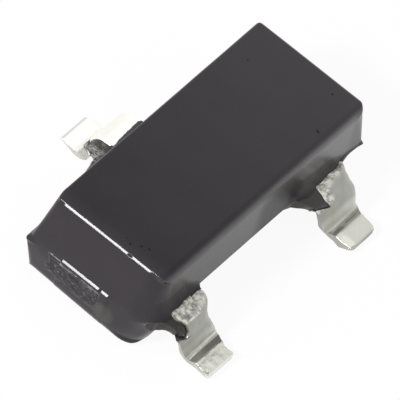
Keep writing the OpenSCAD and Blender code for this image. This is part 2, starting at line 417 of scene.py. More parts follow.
def moulding_pattern(deep, light):
    """Pattern of charcoal epoxy between a deep and a light tone: faint cloudy mottling, sparse pale grains
    of filler, a few pits in the top that are only painted shade, a near end painted lighter as painted light,
    with an olive stain, a gloss that grows towards the far end, rough broken places with pale crumbs, pale
    streaks painted as highlights and cracks painted dark as shade, and dull places without the gloss, the
    dullest of which, on the top edge over the single lead, are painted shade that swallows most of the light."""
    def pattern(nodes):
        at = nodes.coordinates()
        along = nodes.axis(at, 0)
        height = nodes.axis(at, 2)
        cloud = nodes.grain(at, 0.42, 3.0)
        grain = nodes.grain(at, 0.022, 3.0, 0.6)
        filler = nodes.grain(at, 0.016, 1.0).step(0.72, 0.8)
        chips = nodes.grain(nodes.stretched(at, (1, 0.40, 1)), 0.016, 3.0, 0.7)
        streaks = nodes.grain(nodes.stretched(at, (1, 0.07, 1)), 0.012, 2.0, 0.6)
        broken = nodes.mark("broken")
        dull = nodes.mark("dull")
        near_end = 1 - along.step_mm(*NEAR_END_FADE)
        stain = nodes.spot(at, *STAIN) * cloud.step(0.2, 0.6)
        # Painted highlights: pale streaks in the scar just under the ledge
        fresh = broken * near_end * streaks.step(0.50, 0.62)
        fresh *= height.step_mm(*STREAKS_IN) * height.step_mm(*STREAKS_OUT)
        tone = nodes.mix(cloud.step(0.3, 0.7), deep, light)
        # Painted light: the near end is given a lighter tone
        tone = nodes.mix(near_end * 0.50, tone, NEAR_END_LIGHT_TONE)
        tone = nodes.mix(stain * 0.6, tone, STAIN_TONE)
        tone = nodes.mix(filler * 0.06, tone, FILLER_TONE)
        tone = nodes.mix(broken * chips.step(0.57, 0.69) * 0.33, tone, CRUMB_TONE)
        tone = nodes.mix(fresh * 0.5, tone, STREAK_HIGHLIGHT_TONE)
        tone = nodes.mix((broken - 1) * chips.step(0.38, 0.58), tone, CRUMBLED_TONE)
        # Pits in the top and cracks in the scar, painted dark as shade
        pits = largest([nodes.spot(at, (x, y, TOP_HEIGHT), radius) for x, y, radius in TOP_PITS])
        cracks = broken * (1 - chips.step(0.30, 0.44))
        far_share = along * (1 / (2 * HALF_LENGTH * MM)) + 0.5
        return {
            "Base Color": tone,
            "Roughness": 0.2 + cloud * 0.06 + grain * 0.04 + broken * 0.15 + dull * 0.3,
            "Coat Weight": (far_share * 0.50 + 0.05) * (1 - dull * 0.8),
            "Normal": nodes.bump(grain + broken * chips * 8.0, 0.0003),
            # Painted shade, mixed in as black: the pits, the scar's cracks and the dullest edge, over the
            # single lead
            "painted_shade": largest([pits * 0.7, cracks * 0.7, dull.step(0.6, 1.0) * 0.85]),
        }
    return pattern


MOULDING_SHEEN = {"Specular IOR Level": 0.30, "IOR": 1.5, "Coat Roughness": 0.2}
MOULDING = make_finish("moulding", MOULDING_SHEEN,
                       moulding_pattern(deep=(0.0065, 0.0025, 0.0060, 1), light=(0.0095, 0.0050, 0.0090, 1)))
FLASH = make_finish("flash of the moulding", MOULDING_SHEEN,
                    moulding_pattern(deep=(0.017, 0.014, 0.011, 1), light=(0.029, 0.025, 0.020, 1)))


CUT_TONE = (0.95, 0.94, 0.9, 1)
SHEAR_SHADE = (0.17, 0.17, 0.14, 1)
# Dark tone of residue, also used for painted shade at bends, grooves and cracks
RESIDUE_AND_SHADE_TONE = (0.10, 0.092, 0.075, 1)


def tin_pattern(dull, bright, crushed, bare_and_painted_shading):
    """Pattern of matt tin between a dull and a bright tone: fine crystals, faint drawn lines along the
    strip, crushed metal where it was sheared, with dark cracks painted as shade, bare metal where it was
    pressed, each of its own tone, pale metal where the toe was cut, and a dark tone that is partly residue
    and partly painted shade. The bare tone also paints light on low legs and shade on some faces."""
    def pattern(nodes):
        at = nodes.coordinates()
        crystals = nodes.grain(at, 0.012, 3.0, 0.65)
        cloud = nodes.grain(at, 0.11, 3.0)
        drawn = nodes.grain(nodes.stretched(at, (1, 0.12, 0.3)), 0.02, 2.0)
        sheared = nodes.mark("sheared")
        residue_and_shade = nodes.mark("residue_and_shade")
        flecks = nodes.grain(at, 0.050, 5.0, 0.72)
        tone = nodes.mix(cloud.step(0.3, 0.7), dull, bright)
        tone = nodes.mix(nodes.mark("bare_and_painted_shading") * (0.8 + flecks * 0.3), tone, bare_and_painted_shading)
        tone = nodes.mix(nodes.mark("cut"), tone, CUT_TONE)
        tone = nodes.mix(sheared * flecks.step(0.44, 0.57), tone, crushed)
        tone = nodes.mix(sheared * (1 - flecks.step(0.36, 0.46)) * 0.7, tone, SHEAR_SHADE)
        tone = nodes.mix(residue_and_shade * (0.8 + flecks * 0.2), tone, RESIDUE_AND_SHADE_TONE)
        return {
            "Base Color": tone,
            "Metallic": 1 - residue_and_shade * 0.35,
            "Roughness": 0.28 + cloud * 0.1 + crystals * 0.08 + sheared * 0.08 + residue_and_shade * 0.12,
            "Normal": nodes.bump(crystals * 0.6 + drawn * 0.4 + sheared * flecks * 3.0, 0.001),
        }
    return pattern


WORN_TIN = make_finish("worn tin plating", {"IOR": 1.5}, tin_pattern(
    dull=(0.335, 0.337, 0.305, 1), bright=(0.395, 0.40, 0.37, 1),
    crushed=(0.71, 0.70, 0.64, 1), bare_and_painted_shading=(0.70, 0.69, 0.625, 1)))
# The single lead's plating: a much lighter copy of the same tin, which is painted light
PAINTED_LIGHT_TIN = make_finish("tin plating in painted light", {"IOR": 1.5}, tin_pattern(
    dull=(0.94, 0.935, 0.88, 1), bright=(0.98, 0.975, 0.93, 1),
    crushed=(0.62, 0.61, 0.59, 1), bare_and_painted_shading=(0.62, 0.60, 0.55, 1)))


def solder_pattern(nodes):
    """Dull grey solder with a pebbled skin."""
    at = nodes.coordinates()
    pebbles = nodes.grain(at, 0.03, 3.0)
    return {
        "Base Color": nodes.mix(pebbles, (0.42, 0.42, 0.44, 1), (0.6, 0.6, 0.62, 1)),
        "Roughness": 0.4 + pebbles * 0.25,
        "Normal": nodes.bump(pebbles, 0.002),
    }


SOLDER = make_finish("die attach solder", {"Metallic": 1.0}, solder_pattern)


def silicon_pattern(nodes):
    """Polished blue-grey silicon with faint saw lines on its sides."""
    at = nodes.coordinates()
    saw = nodes.grain(nodes.stretched(at, (0.05, 0.05, 1)), 0.008, 2.0)
    cloud = nodes.grain(at, 0.08, 2.0)
    return {
        "Base Color": nodes.mix(cloud, (0.12, 0.13, 0.17, 1), (0.2, 0.21, 0.25, 1)),
        "Roughness": 0.12 + saw * 0.2,
        "Normal": nodes.bump(saw, 0.0008),
    }


SILICON = make_finish("silicon", {"IOR": 2.5}, silicon_pattern)


def gold_pattern(nodes):
    """Bright soft gold with fine orange peel."""
    at = nodes.coordinates()
    peel = nodes.grain(at, 0.014, 3.0)
    return {
        "Base Color": nodes.mix(peel, (0.85, 0.58, 0.2, 1), (0.98, 0.76, 0.36, 1)),
        "Roughness": 0.18 + peel * 0.16,
        "Normal": nodes.bump(peel, 0.0008),
    }


GOLD = make_finish("gold", {"Metallic": 1.0}, gold_pattern)

for kind, finish in (("die_attach", SOLDER), ("chip", SILICON), ("contact", GOLD), ("bond_wire", GOLD)):
    for number in (1, 2):
        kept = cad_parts[f"{kind}_{number}"]
        kept.data.materials.clear()
        kept.data.materials.append(finish)


# Moulded body

PARTING = 0.42
UPPER_H = TOP_HEIGHT - PARTING
LOWER_H = PARTING - body_low[2]
# Height of the upright band on each side of the joint
LAND_H = 0.012
# The four walls come in one order: the side with two leads, the far end, the other side, the near end.
# Inset of each wall for a millimetre of height
UPPER_SLOPES = (0.080, 0.117, 0.147, 0.158)
LOWER_SLOPES = (0.297, 0.10, 0.25, 0.10)
# Height over which each wall eases into the upright band
JOINT_EASING = (0.004, 0.02, 0.02, 0.07)
# Rounded edges as stretches of (length, turn of the normal at its end)
UPPER_EDGES = ([(0.095, 19), (0.030, 42), (0.045, 90)], [(0.060, 90)], [(0.042, 90)],
               [(0.010, 42.5), (0.022, 48.5), (0.012, 90)])
LOWER_EDGES = ([(0.055, 90)], [(0.17, 90)], [(0.055, 90)], [(0.17, 90)])
# Corner radii in plan, from the near right corner round
TOP_RADII = (0.17, 0.12, 0.060, 0.045)
ABOVE_RADII = (0.20, 0.012, 0.040, 0.030)
BELOW_RADII = (0.20, 0.012, 0.040, 0.020)
UNDER_RADII = (0.21, 0.030, 0.050, 0.060)
LEAST_RADIUS = 0.008
# Rows of a wall and steps along the perimeter
EDGE_ROWS = 12
UPPER_ROWS = 40
LOWER_ROWS = 26
CORNER_STEPS = 10
SIDE_STEPS = 150
END_STEPS = 110
# Shares of the way between which rows or steps lie closer, and how many times closer
UPPER_CLOSER = (0.0, 0.105, 8.0)
LOWER_CLOSER = (0.0, 0.55, 2.5)
SIDE_CLOSER = (0.03, 0.12, 2.0)
END_CLOSER = (0.26, 0.88, 1.7)
# Steps in which edges and spacings are added up
EDGE_SUM_STEPS = 600
SPACING_SUM_STEPS = 2001


def rounded_edge(slope, stretches):
    """Side view of an edge as inward and upward distances at each row. The normal starts square to the
    wall and turns evenly over each stretch; a step goes inward by the sine of the turn and up by its
    cosine."""
    run = np.cumsum([0.0] + [length for length, _ in stretches])
    turn = np.radians([math.degrees(math.atan(slope))] + [end for _, end in stretches])
    fine = np.linspace(0, run[-1], EDGE_SUM_STEPS)
    middle_turn = np.interp((fine[1:] + fine[:-1]) / 2, run, turn)
    step = np.diff(fine)
    inward = np.concatenate([[0], np.cumsum(step * np.sin(middle_turn))])
    upward = np.concatenate([[0], np.cumsum(step * np.cos(middle_turn))])
    rows = np.linspace(0, run[-1], EDGE_ROWS + 1)[1:]
    return np.interp(rows, fine, inward), np.interp(rows, fine, upward)


def wall_rows(height, slope, stretches, shares, easing):
    """Inset and height of the rows of one wall, from the parting line outwards: the upright band, the
    wall at the given shares of its height, and the rounded edge. The wall's inset follows a hyperbola
    that starts upright and meets the slope past the easing."""
    inward, upward = rounded_edge(slope, stretches)
    wall_end = height - upward[-1]
    land = np.array([0.0, LAND_H / 2])
    rise = (wall_end - LAND_H) * shares
    eased = (np.hypot(rise, easing) - easing) / (math.hypot(wall_end - LAND_H, easing) - easing)
    reach = slope * (wall_end - LAND_H)
    inset = np.concatenate([0 * land, reach * eased, reach + inward])
    return inset, np.concatenate([land, LAND_H + rise, wall_end + upward])


def graded(count, closer_from, closer_to, ratio):
    """Shares from 0 to 1 in count steps, which lie ratio times closer between closer_from and closer_to."""
    fine = np.linspace(0, 1, SPACING_SUM_STEPS)
    density = np.where((fine > closer_from) & (fine < closer_to), ratio, 1.0)
    run = np.concatenate([[0], np.cumsum((density[1:] + density[:-1]) / 2)])
    return np.interp(np.linspace(0, run[-1], count + 1), run, fine)


def body_rings():
    """Rings round the body from the underside to the top. Each ring goes round four corners and four
    walls, from the near right corner along the side with two leads. A wall's points lie evenly between
    its corners' arcs, and an arc blends the heights of its two walls."""
    upper_shares = graded(UPPER_ROWS, *UPPER_CLOSER)
    lower_shares = graded(LOWER_ROWS, *LOWER_CLOSER)
    insets, levels = [], []
    for upper_slope, lower_slope, upper_edge, lower_edge, easing in zip(
            UPPER_SLOPES, LOWER_SLOPES, UPPER_EDGES, LOWER_EDGES, JOINT_EASING):
        upper_inset, upper_level = wall_rows(UPPER_H, upper_slope, upper_edge, upper_shares, easing)
        lower_inset, lower_level = wall_rows(LOWER_H, lower_slope, lower_edge, lower_shares, easing)
        insets.append(np.concatenate([lower_inset[:0:-1], upper_inset]))
        levels.append(np.concatenate([-lower_level[:0:-1], upper_level]))
    rows = len(levels[0])
    edge_share = np.zeros(rows)
    edge_share[-EDGE_ROWS:] = np.linspace(0, 1, EDGE_ROWS + 1)[1:]
    edge_share[:EDGE_ROWS] = np.linspace(0, 1, EDGE_ROWS + 1)[:0:-1]

    signs = ((-1, -1), (1, -1), (1, 1), (-1, 1))
    arcs = []
    for k, (sign_x, sign_y) in enumerate(signs):
        before, after = (k - 1) % 4, k
        end, side = (before, after) if k % 2 == 0 else (after, before)
        level = (levels[before] + levels[after]) / 2
        radius = np.interp(level, [-LOWER_H, 0, LAND_H, UPPER_H],
                           [UNDER_RADII[k], BELOW_RADII[k], ABOVE_RADII[k], TOP_RADII[k]])
        radius = np.maximum(radius * (1 - edge_share), LEAST_RADIUS)[:, None]
        turn = np.radians(180 + 90 * k + np.linspace(0, 90, CORNER_STEPS + 1))[None]
        x = sign_x * (HALF_LENGTH - insets[end][:, None] - radius) + radius * np.cos(turn)
        y = sign_y * (HALF_WIDTH - insets[side][:, None] - radius) + radius * np.sin(turn)
        share = ramp(np.linspace(0, 1, CORNER_STEPS + 1), 0, 1)[None]
        z = PARTING + (1 - share) * levels[before][:, None] + share * levels[after][:, None]
        arcs.append(np.stack([x, y, z], axis=-1))

    side_shares = graded(SIDE_STEPS, *SIDE_CLOSER)
    end_shares = graded(END_STEPS, *END_CLOSER)
    along = (side_shares, end_shares, 1 - side_shares[::-1], 1 - end_shares[::-1])
    sections = []
    for k in range(4):
        sections.append(arcs[k])
        start, stop = arcs[k][:, -1:], arcs[(k + 1) % 4][:, :1]
        share = along[k][None, 1:-1, None]
        sections.append(start + (stop - start) * share)
    return np.roll(np.concatenate(sections, axis=1), -(CORNER_STEPS // 2), axis=1)


# Waves in the surface: height and cell
LONG_WAVES = (0.0007, 0.28)
SHORT_WAVES = (0.0003, 0.06)
# Distances from the middle line between which marks on the side with two leads come in
LEAD_SIDE = (0.40, 0.55)
# Worn edge over the near end: where it starts along the body and in height, its dents, its nick, and its
# facet, with the places across and the heights between which that comes in
WORN_FROM = (1.33, 1.36)
WORN_ABOVE = (0.88, 0.925)
DENT_DEPTH = 0.0006
NICK = (-1.372, -0.225, 0.940)
NICK_RADIUS = 0.011
NICK_DEPTH = 0.009
FACET_DEPTH = 0.008
FACET_LEFT = (0.478, 0.502)
FACET_RIGHT = (-0.445, -0.475)
FACET_BELOW = (0.946, 0.930)
# Ridge at the joint: height, waves of the height, and half width
RIDGE_H = 0.0025
RIDGE_WAVE = 0.0015
RIDGE_HALF = 0.005
# Distances from the middle of the body between which the marks of the near end's face come in
NEAR_FACE = (1.37, 1.40)
# Broken-off gate on the near end, with the ledge over its scar. The break takes a share of the ledge's
# reach. Low down only a small share of the reach is left, which grows to the whole between two heights
LEDGE_TOP = 0.479
LEDGE_FOOT = 0.459
LEDGE_REACH = 0.0180
LEDGE_LEFT = 0.276
LEDGE_RIGHT = -0.243
LEDGE_SOFT = 0.012
LEDGE_BREAK = -0.139
LEDGE_BREAK_WIDTH = 0.005
LEDGE_BREAK_SHARE = 0.8
LEDGE_LOW_SHARE = 0.25
LEDGE_GROWS = (0.20, 0.40)
SCAR_LEFT = 0.44
SCAR_RIGHT = -0.20
SCAR_BOTTOM = 0.19
SCAR_TOP = 0.454
SCAR_SIDE_SOFT = 0.08
SCAR_BOTTOM_SOFT = 0.06
SCAR_TOP_SOFT = 0.018
CRUMB_DEPTH = 0.009
STREAK_DEPTH = 0.008
# Flash at two corners of the joint, and from the second of them to lead 2: how far it reaches, the
# distances from the middle, across and along, between which it comes in, and half its height
TIP_REACH = 0.014
TIP_ACROSS = (0.50, 0.62)
TIP_ALONG = (1.38, 1.45)
TIP_DROP = 0.008
TIP_HALF = 0.025
FAR_TIP_REACH = (0.012, 0.010)
FAR_TIP_ACROSS = (0.57, 0.62)
FAR_TIP_ALONG = (1.40, 1.45)
FAR_TIP_HALF = 0.03
SEAM_REACH = 0.016
SEAM_ACROSS = (0.3, 0.5)
SEAM_ALONG = (1.12, 1.20)
SEAM_THINS = (1.20, 1.45)
SEAM_HALF = 0.018
# Misfit of the mould: the lower half's shift at the near end, on the middle line and for each millimetre
# towards the single lead, the swelling of the near right corner, the far right corner's reach along both
# sides, and how far the single lead's side draws in near the end. ALONG and ACROSS are the distances from
# the middle between which each comes in, BELOW and ABOVE are the heights, and what lies askew or swollen
# is so in full from LOWER_FULL down
LOWER_FULL = 0.14
ASKEW_ALONG = (1.15, 1.35)
ASKEW_MIDDLE = 0.0147
ASKEW_TURN = -0.034
SWELLING = [(-1.46, -0.006), (-1.38, 0.006), (-1.30, 0.032), (-1.20, 0.048), (-1.08, 0.022), (-0.96, 0.0)]
SWELLING_ACROSS = (0.2, 0.4)
CORNER_REACH = (0.016, 0.012)
CORNER_ALONG = (1.25, 1.45)
CORNER_ACROSS = (0.40, 0.58)
CORNER_BELOW = (0.94, 0.86)
DRAWN_IN = 0.028
DRAWN_ALONG = (1.24, 1.44)
DRAWN_ACROSS = (0.35, 0.52)
DRAWN_ABOVE = (PARTING, PARTING + 0.05)
# Flare of the wall over the shoulders of leads 1 and 2: its foot, and (place along the body, reach) and
# (place along the body, height over the foot)
FLARE_FOOT = 0.437
FLARE_REACHES = [(-1.41, 0.0), (-1.36, 0.022), (-1.30, 0.060), (-1.25, 0.074), (-1.20, 0.070), (-1.16, 0.054),
                 (-1.00, 0.050), (-0.88, 0.047), (-0.78, 0.040), (-0.752, 0.018), (-0.735, 0.0),
                 (0.36, 0.0), (0.46, 0.003), (0.53, 0.014), (0.60, 0.042), (0.67, 0.070), (0.74, 0.070),
                 (0.80, 0.050), (0.96, 0.045), (1.09, 0.042), (1.16, 0.026), (1.24, 0.008), (1.30, 0.0)]
FLARE_HEIGHTS = [(-1.25, 0.22), (-1.20, 0.21), (-1.16, 0.20), (-1.00, 0.20), (-0.88, 0.13), (-0.78, 0.06),
                 (-0.752, 0.04), (-0.735, 0.04), (0.36, 0.16), (0.46, 0.20), (0.53, 0.22), (0.60, 0.22),
                 (0.67, 0.21), (0.74, 0.20), (0.80, 0.18), (0.96, 0.18), (1.09, 0.12), (1.16, 0.05),
                 (1.24, 0.03)]
# Dull wall beside lead 2: extent along the body, and heights between which it comes in
BESIDE_ALONG = (0.02, 0.56, 0.10)
BESIDE_BELOW = (0.90, 0.70)
# Painted shade on the edge of the top over the single lead, which makes it dull and dark: places along
# the body, across it and in height between which it comes in and goes out
OVERHANG_FROM = (-0.72, -0.54)
OVERHANG_TO = (0.32, 0.14)
OVERHANG_PAST = (0.545, 0.560)
OVERHANG_BELOW = (0.9499, 0.9475)
OVERHANG_ABOVE = (0.922, 0.934)


def worn_edge(points):
    """How far the worn edge over the near end lies inwards: shallow dents, a facet that turns away at both
    ends of the edge, and one nick."""
    x, y, z = points.T
    edge = ramp(-x, *WORN_FROM) * ramp(z, *WORN_ABOVE)
    dents = DENT_DEPTH * ramp(noise(points, 0.12, 21), 0.1, 0.7)
    facets = FACET_DEPTH * (ramp(y, *FACET_LEFT) + ramp(y, *FACET_RIGHT)) * ramp(z, *FACET_BELOW)
    return edge * (dents + facets) + NICK_DEPTH * spot(points, NICK, NICK_RADIUS)


def joint_ridge(points):
    """How far the thin ridge at the joint of the mould stands out: a bell over the height, with waves."""
    height = RIDGE_H + RIDGE_WAVE * noise(points, 0.12, 31)
    return bell(points[:, 2] - PARTING, RIDGE_HALF) * height * ramp(points[:, 0], -1.45, -1.38)


def broken_gate(points):
    """How far the gate stands out of the near end, and how broken each place is. A ledge with one break in
    it comes out evenly from its top to its foot, and the face under it draws back lower down. A ragged
    scar of crumbs and streaks is added to that face."""
    x, y, z = points.T
    near = ramp(-x, *NEAR_FACE)
    ledge = ramp(y, LEDGE_RIGHT, LEDGE_RIGHT + LEDGE_SOFT) * ramp(y, LEDGE_LEFT, LEDGE_LEFT - LEDGE_SOFT)
    ledge *= 1 - LEDGE_BREAK_SHARE * bell(y - LEDGE_BREAK, LEDGE_BREAK_WIDTH)
    grown = LEDGE_LOW_SHARE + (1 - LEDGE_LOW_SHARE) * ramp(z, *LEDGE_GROWS)
    ledge *= np.clip((LEDGE_TOP - z) / (LEDGE_TOP - LEDGE_FOOT), 0, 1) * grown
    scar = near * ramp(y, SCAR_RIGHT, SCAR_RIGHT + SCAR_SIDE_SOFT)
    scar = scar * ramp(y, SCAR_LEFT, SCAR_LEFT - SCAR_SIDE_SOFT)
    scar *= (ramp(z, SCAR_BOTTOM, SCAR_BOTTOM + SCAR_BOTTOM_SOFT)
             * ramp(z, SCAR_TOP, SCAR_TOP - SCAR_TOP_SOFT))
    broken = ramp(0.7 * fractal(points, (1, 0.13, 0.07), 2, 41) + 0.8 * scar, 0.2, 0.6) * scar
    streaks = STREAK_DEPTH * fractal(points, (1.0, 0.09, 0.013), 2, 42)
    crumbs = CRUMB_DEPTH * fractal(points, (0.05, 0.032, 0.026), 3, 43)
    return near * ledge * LEDGE_REACH + broken * (crumbs + streaks), broken


def corner_flash(points):
    """How far flash shifts the surface along X and along Y: a tip at the near left corner of the joint, one
    at the far right corner, and a seam from there to lead 2, each a bell over the height."""
    x, y, z = points.T
    above = z - PARTING
    tip = ramp(y, *TIP_ACROSS) * ramp(-x, *TIP_ALONG) * bell(above + TIP_DROP, TIP_HALF)
    far_tip = ramp(-y, *FAR_TIP_ACROSS) * ramp(x, *FAR_TIP_ALONG) * bell(above, FAR_TIP_HALF)
    seam = ramp(-y, *SEAM_ACROSS) * ramp(x, *SEAM_ALONG) * (1 - 0.6 * ramp(x, *SEAM_THINS))
    seam = seam * bell(above, SEAM_HALF)
    return FAR_TIP_REACH[0] * far_tip - TIP_REACH * tip, -FAR_TIP_REACH[1] * far_tip - SEAM_REACH * seam


def mould_misfit(points):
    """How far the mould's misfit shifts the surface along X and along Y: at the near end the lower half
    lies askew and its right corner is full, the far right corner stands out above and below the joint, and
    the single lead's side draws in towards the near end."""
    x, y, z = points.T
    lower = ramp(z, PARTING, LOWER_FULL)
    askew = ramp(-x, *ASKEW_ALONG) * lower * (ASKEW_MIDDLE + ASKEW_TURN * y)
    swelling = lower * ramp(-y, *SWELLING_ACROSS) * piecewise(SWELLING, x)
    corner = ramp(x, *CORNER_ALONG) * ramp(-y, *CORNER_ACROSS) * ramp(z, *CORNER_BELOW)
    drawn_in = DRAWN_IN * ramp(-x, *DRAWN_ALONG) * ramp(y, *DRAWN_ACROSS) * ramp(z, *DRAWN_ABOVE)
    return CORNER_REACH[0] * corner - askew, -CORNER_REACH[1] * corner - swelling - drawn_in


def shoulder_flares(points):
    """How far the wall flares out over the two shoulders, and how dull it is there. The flare's side view
    is a quarter ellipse that meets the flash level, with a lip over the flash's underside."""
    x, y, z = points.T
    reach = piecewise(FLARE_REACHES, x)
    above = np.clip((z - FLARE_FOOT) / piecewise(FLARE_HEIGHTS, x), 0, 1)
    side = ramp(FLARE_FOOT - z, 0.07, 0.0) * ramp(-y, *LEAD_SIDE)
    dull = 0.55 * ramp(reach, 0.0, 0.03) * ramp(1 - above, 0.02, 0.25) * side
    return reach * (1 - np.sqrt(1 - (1 - above) ** 2)) * side, dull


def dull_places(points):
    """How dull the wall beside lead 2 is, and the painted shade on the edge of the top over the single lead.
    """
    x, y, z = points.T
    beside = 0.5 * band(x, *BESIDE_ALONG) * ramp(z, *BESIDE_BELOW) * ramp(-y, *LEAD_SIDE)
    overhang_shade = ramp(x, *OVERHANG_FROM) * ramp(x, *OVERHANG_TO) * ramp(y, *OVERHANG_PAST)
    return np.maximum(beside, overhang_shade * ramp(z, *OVERHANG_BELOW) * ramp(z, *OVERHANG_ABOVE))


def dress_body():
    """Body with its marks. Waves, the ridge and the wear move each point along its normal. The gate, the
    flash, the misfit and the flares move it along X and Y."""
    points, quads = closed_tube(body_rings(), CORNER_STEPS + SIDE_STEPS, CORNER_STEPS + END_STEPS)
    push = LONG_WAVES[0] * noise(points, LONG_WAVES[1], 11)
    push += SHORT_WAVES[0] * noise(points, SHORT_WAVES[1], 12)
    push += joint_ridge(points) - worn_edge(points)
    gate, broken = broken_gate(points)
    flash_x, flash_y = corner_flash(points)
    misfit_x, misfit_y = mould_misfit(points)
    flare, flare_dull = shoulder_flares(points)
    moved = points + point_normals(points, quads) * push[:, None]
    moved[:, 0] += flash_x + misfit_x - gate
    moved[:, 1] += flash_y + misfit_y - flare
    return moved, quads, {"broken": broken, "dull": np.maximum(flare_dull, dull_places(points))}


body_points, body_quads, body_marks = dress_body()
body = make_piece("body_shell", body_points, body_quads, MOULDING, body_marks)
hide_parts("moulded_body")


# Leads

LEAD_T = 0.10
FRAME_DROP = 0.035
FRAME_Z = PARTING - FRAME_DROP
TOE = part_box("lead_3")[1][1] / MM
LEAD_X = 0.96
LEAD_EDGE_R = 0.008


class LeadPath:
    """Side view of a lead's middle line, by its run from the side of the body. It is straight to the
    shoulder's end, turns down along an arc, runs down the leg, turns back along an arc of the same radius,
    and runs level to the toe. Its height at both ends fixes the leg's length."""

    def __init__(self, shoulder_end, turn, radius):
        self.turn = math.radians(turn)
        self.radius = radius
        self.bend = radius * self.turn
        drop = FRAME_Z - LEAD_T / 2 - 2 * radius * (1 - math.cos(self.turn))
        self.leg = drop / math.sin(self.turn)
        self.upper_start = shoulder_end - HALF_WIDTH
        self.upper_stop = self.upper_start + self.bend
        self.lower_start = self.upper_stop + self.leg
        self.lower_stop = self.lower_start + self.bend
        foot_start = shoulder_end + 2 * radius * math.sin(self.turn) + self.leg * math.cos(self.turn)
        self.toe = self.lower_stop + TOE - foot_start

    def middle(self, run):
        """Distance from the body's middle, height and turn of the middle line at a run."""
        turn = np.interp(run, [self.upper_start, self.upper_stop, self.lower_start, self.lower_stop],
                         [0, self.turn, self.turn, 0])
        upper = np.clip(run - self.upper_start, 0, self.bend) / self.radius
        leg = np.clip(run - self.upper_stop, 0, self.leg)
        lower = np.clip(run - self.lower_start, 0, self.bend) / self.radius
        level = np.minimum(run, self.upper_start) + np.maximum(run - self.lower_stop, 0)
        bend_out = self.radius * (np.sin(upper) + math.sin(self.turn) - np.sin(self.turn - lower))
        bend_down = self.radius * (1 - np.cos(upper) + np.cos(self.turn - lower) - math.cos(self.turn))
        outward_y = HALF_WIDTH + level + leg * math.cos(self.turn) + bend_out
        return outward_y, FRAME_Z - leg * math.sin(self.turn) - bend_down, turn

    def rings(self, run, across, depth, middle_x, side):
        """Rings of a strip in space: each point stands off the middle line along its normal by its depth."""
        outward_y, height, turn = self.middle(run)
        y = side * (outward_y + depth * np.sin(turn))
        return np.stack([middle_x + across, y, height + depth * np.cos(turn)], axis=-1)


PAIR_PATH = LeadPath(shoulder_end=0.68, turn=66, radius=0.145)
SINGLE_PATH = LeadPath(shoulder_end=0.775, turn=76, radius=0.11)
# Each lead's path, side of the body and middle along the body
NEAR = (PAIR_PATH, -1, -LEAD_X)
FAR = (PAIR_PATH, -1, LEAD_X)
SINGLE = (SINGLE_PATH, 1, 0.0)

WIDTH_STEPS = 50
FACE_STEPS = 8
ARC_STEPS = 4


def section_pattern():
    """Points round a rounded rectangle, from the corner between the left face and the outer skin. Each
    has a place from -1 to 1 along the width and the thickness, and an offset along each in corner radii."""
    half_arc = ARC_STEPS // 2
    across = np.linspace(-1, 1, WIDTH_STEPS + 1)
    through = np.linspace(1, -1, FACE_STEPS + 1)
    sides = [(across, np.ones_like(across), 90), (np.ones_like(through), through, 0),
             (-across, -np.ones_like(across), -90), (-np.ones_like(through), -through, -180)]
    place_x, place_h, offset_x, offset_h = [], [], [], []
    for xs, hs, facing in sides:
        before = np.radians(facing + 45 - 45 * np.arange(half_arc) / half_arc)
        after = np.radians(facing - 45 * np.arange(1, half_arc) / half_arc)
        angle = np.concatenate([before, np.full(len(xs), math.radians(facing)), after])
        place_x.append(np.concatenate([np.full(half_arc, xs[0]), xs, np.full(half_arc - 1, xs[-1])]))
        place_h.append(np.concatenate([np.full(half_arc, hs[0]), hs, np.full(half_arc - 1, hs[-1])]))
        offset_x.append(np.cos(angle))
        offset_h.append(np.sin(angle))
    return tuple(np.concatenate(part) for part in (place_x, place_h, offset_x, offset_h))


PLACE_X, PLACE_H, OFFSET_X, OFFSET_H = section_pattern()
WIDE_STEPS = WIDTH_STEPS + ARC_STEPS
NARROW_STEPS = FACE_STEPS + ARC_STEPS


def strip_section(left, right, top, bottom, edge_r):
    """Places across and depths of a strip's rows, each a rounded rectangle between its left and right
    edges and its top and bottom depths."""
    half_width = (right - left)[:, None] / 2
    half_depth = (top - bottom)[:, None] / 2
    across = left[:, None] + half_width + PLACE_X * (half_width - edge_r) + OFFSET_X * edge_r
    depth = bottom[:, None] + half_depth + PLACE_H * (half_depth - edge_r) + OFFSET_H * edge_r
    return across, depth


def strip_surface(path, run, across, depth, middle_x, side, end_run):
    """Closed surface of a strip on a lead's path, with its normals and the run of each point. The points of
    the patches over its two ends count as at the end run."""
    points, quads = closed_tube(path.rings(run, across, depth, middle_x, side), WIDE_STEPS, NARROW_STEPS)
    run_of_points = np.concatenate([run.ravel(), np.full(len(points) - run.size, end_run)])
    return points, quads, point_normals(points, quads), run_of_points


BLADE_ROWS = 9
# Rows of a lead: those inside the body and the run at which they stop, the run at which those outside
# start and the step between them, how far they keep from the start of the cut tie bar and from the toe,
# how far before and after that start two rows lie close together, and how far before the toe the last lie
INSIDE_ROWS = 14
INSIDE_STOP = -0.02
OUTSIDE_START = -0.012
ROW_STEP = 0.007
ROW_ROOM = 0.004
CLOSE_ROW = 0.0015
TOE_ROWS = (0.0035, 0.001, 0.0)


def blade(x_from, x_to, y_from, y_to):
    """Flat blade of the lead frame inside the body, as a closed tube along Y with rounded edges."""
    ys = np.linspace(y_from, y_to, BLADE_ROWS)
    flat = np.zeros_like(ys)
    x, height = strip_section(flat + x_from, flat + x_to, flat + LEAD_T / 2, flat - LEAD_T / 2, LEAD_EDGE_R)
    rings = np.stack([x, ys[:, None] + 0 * x, FRAME_Z + height], axis=-1)
    return closed_tube(rings, WIDE_STEPS, NARROW_STEPS)


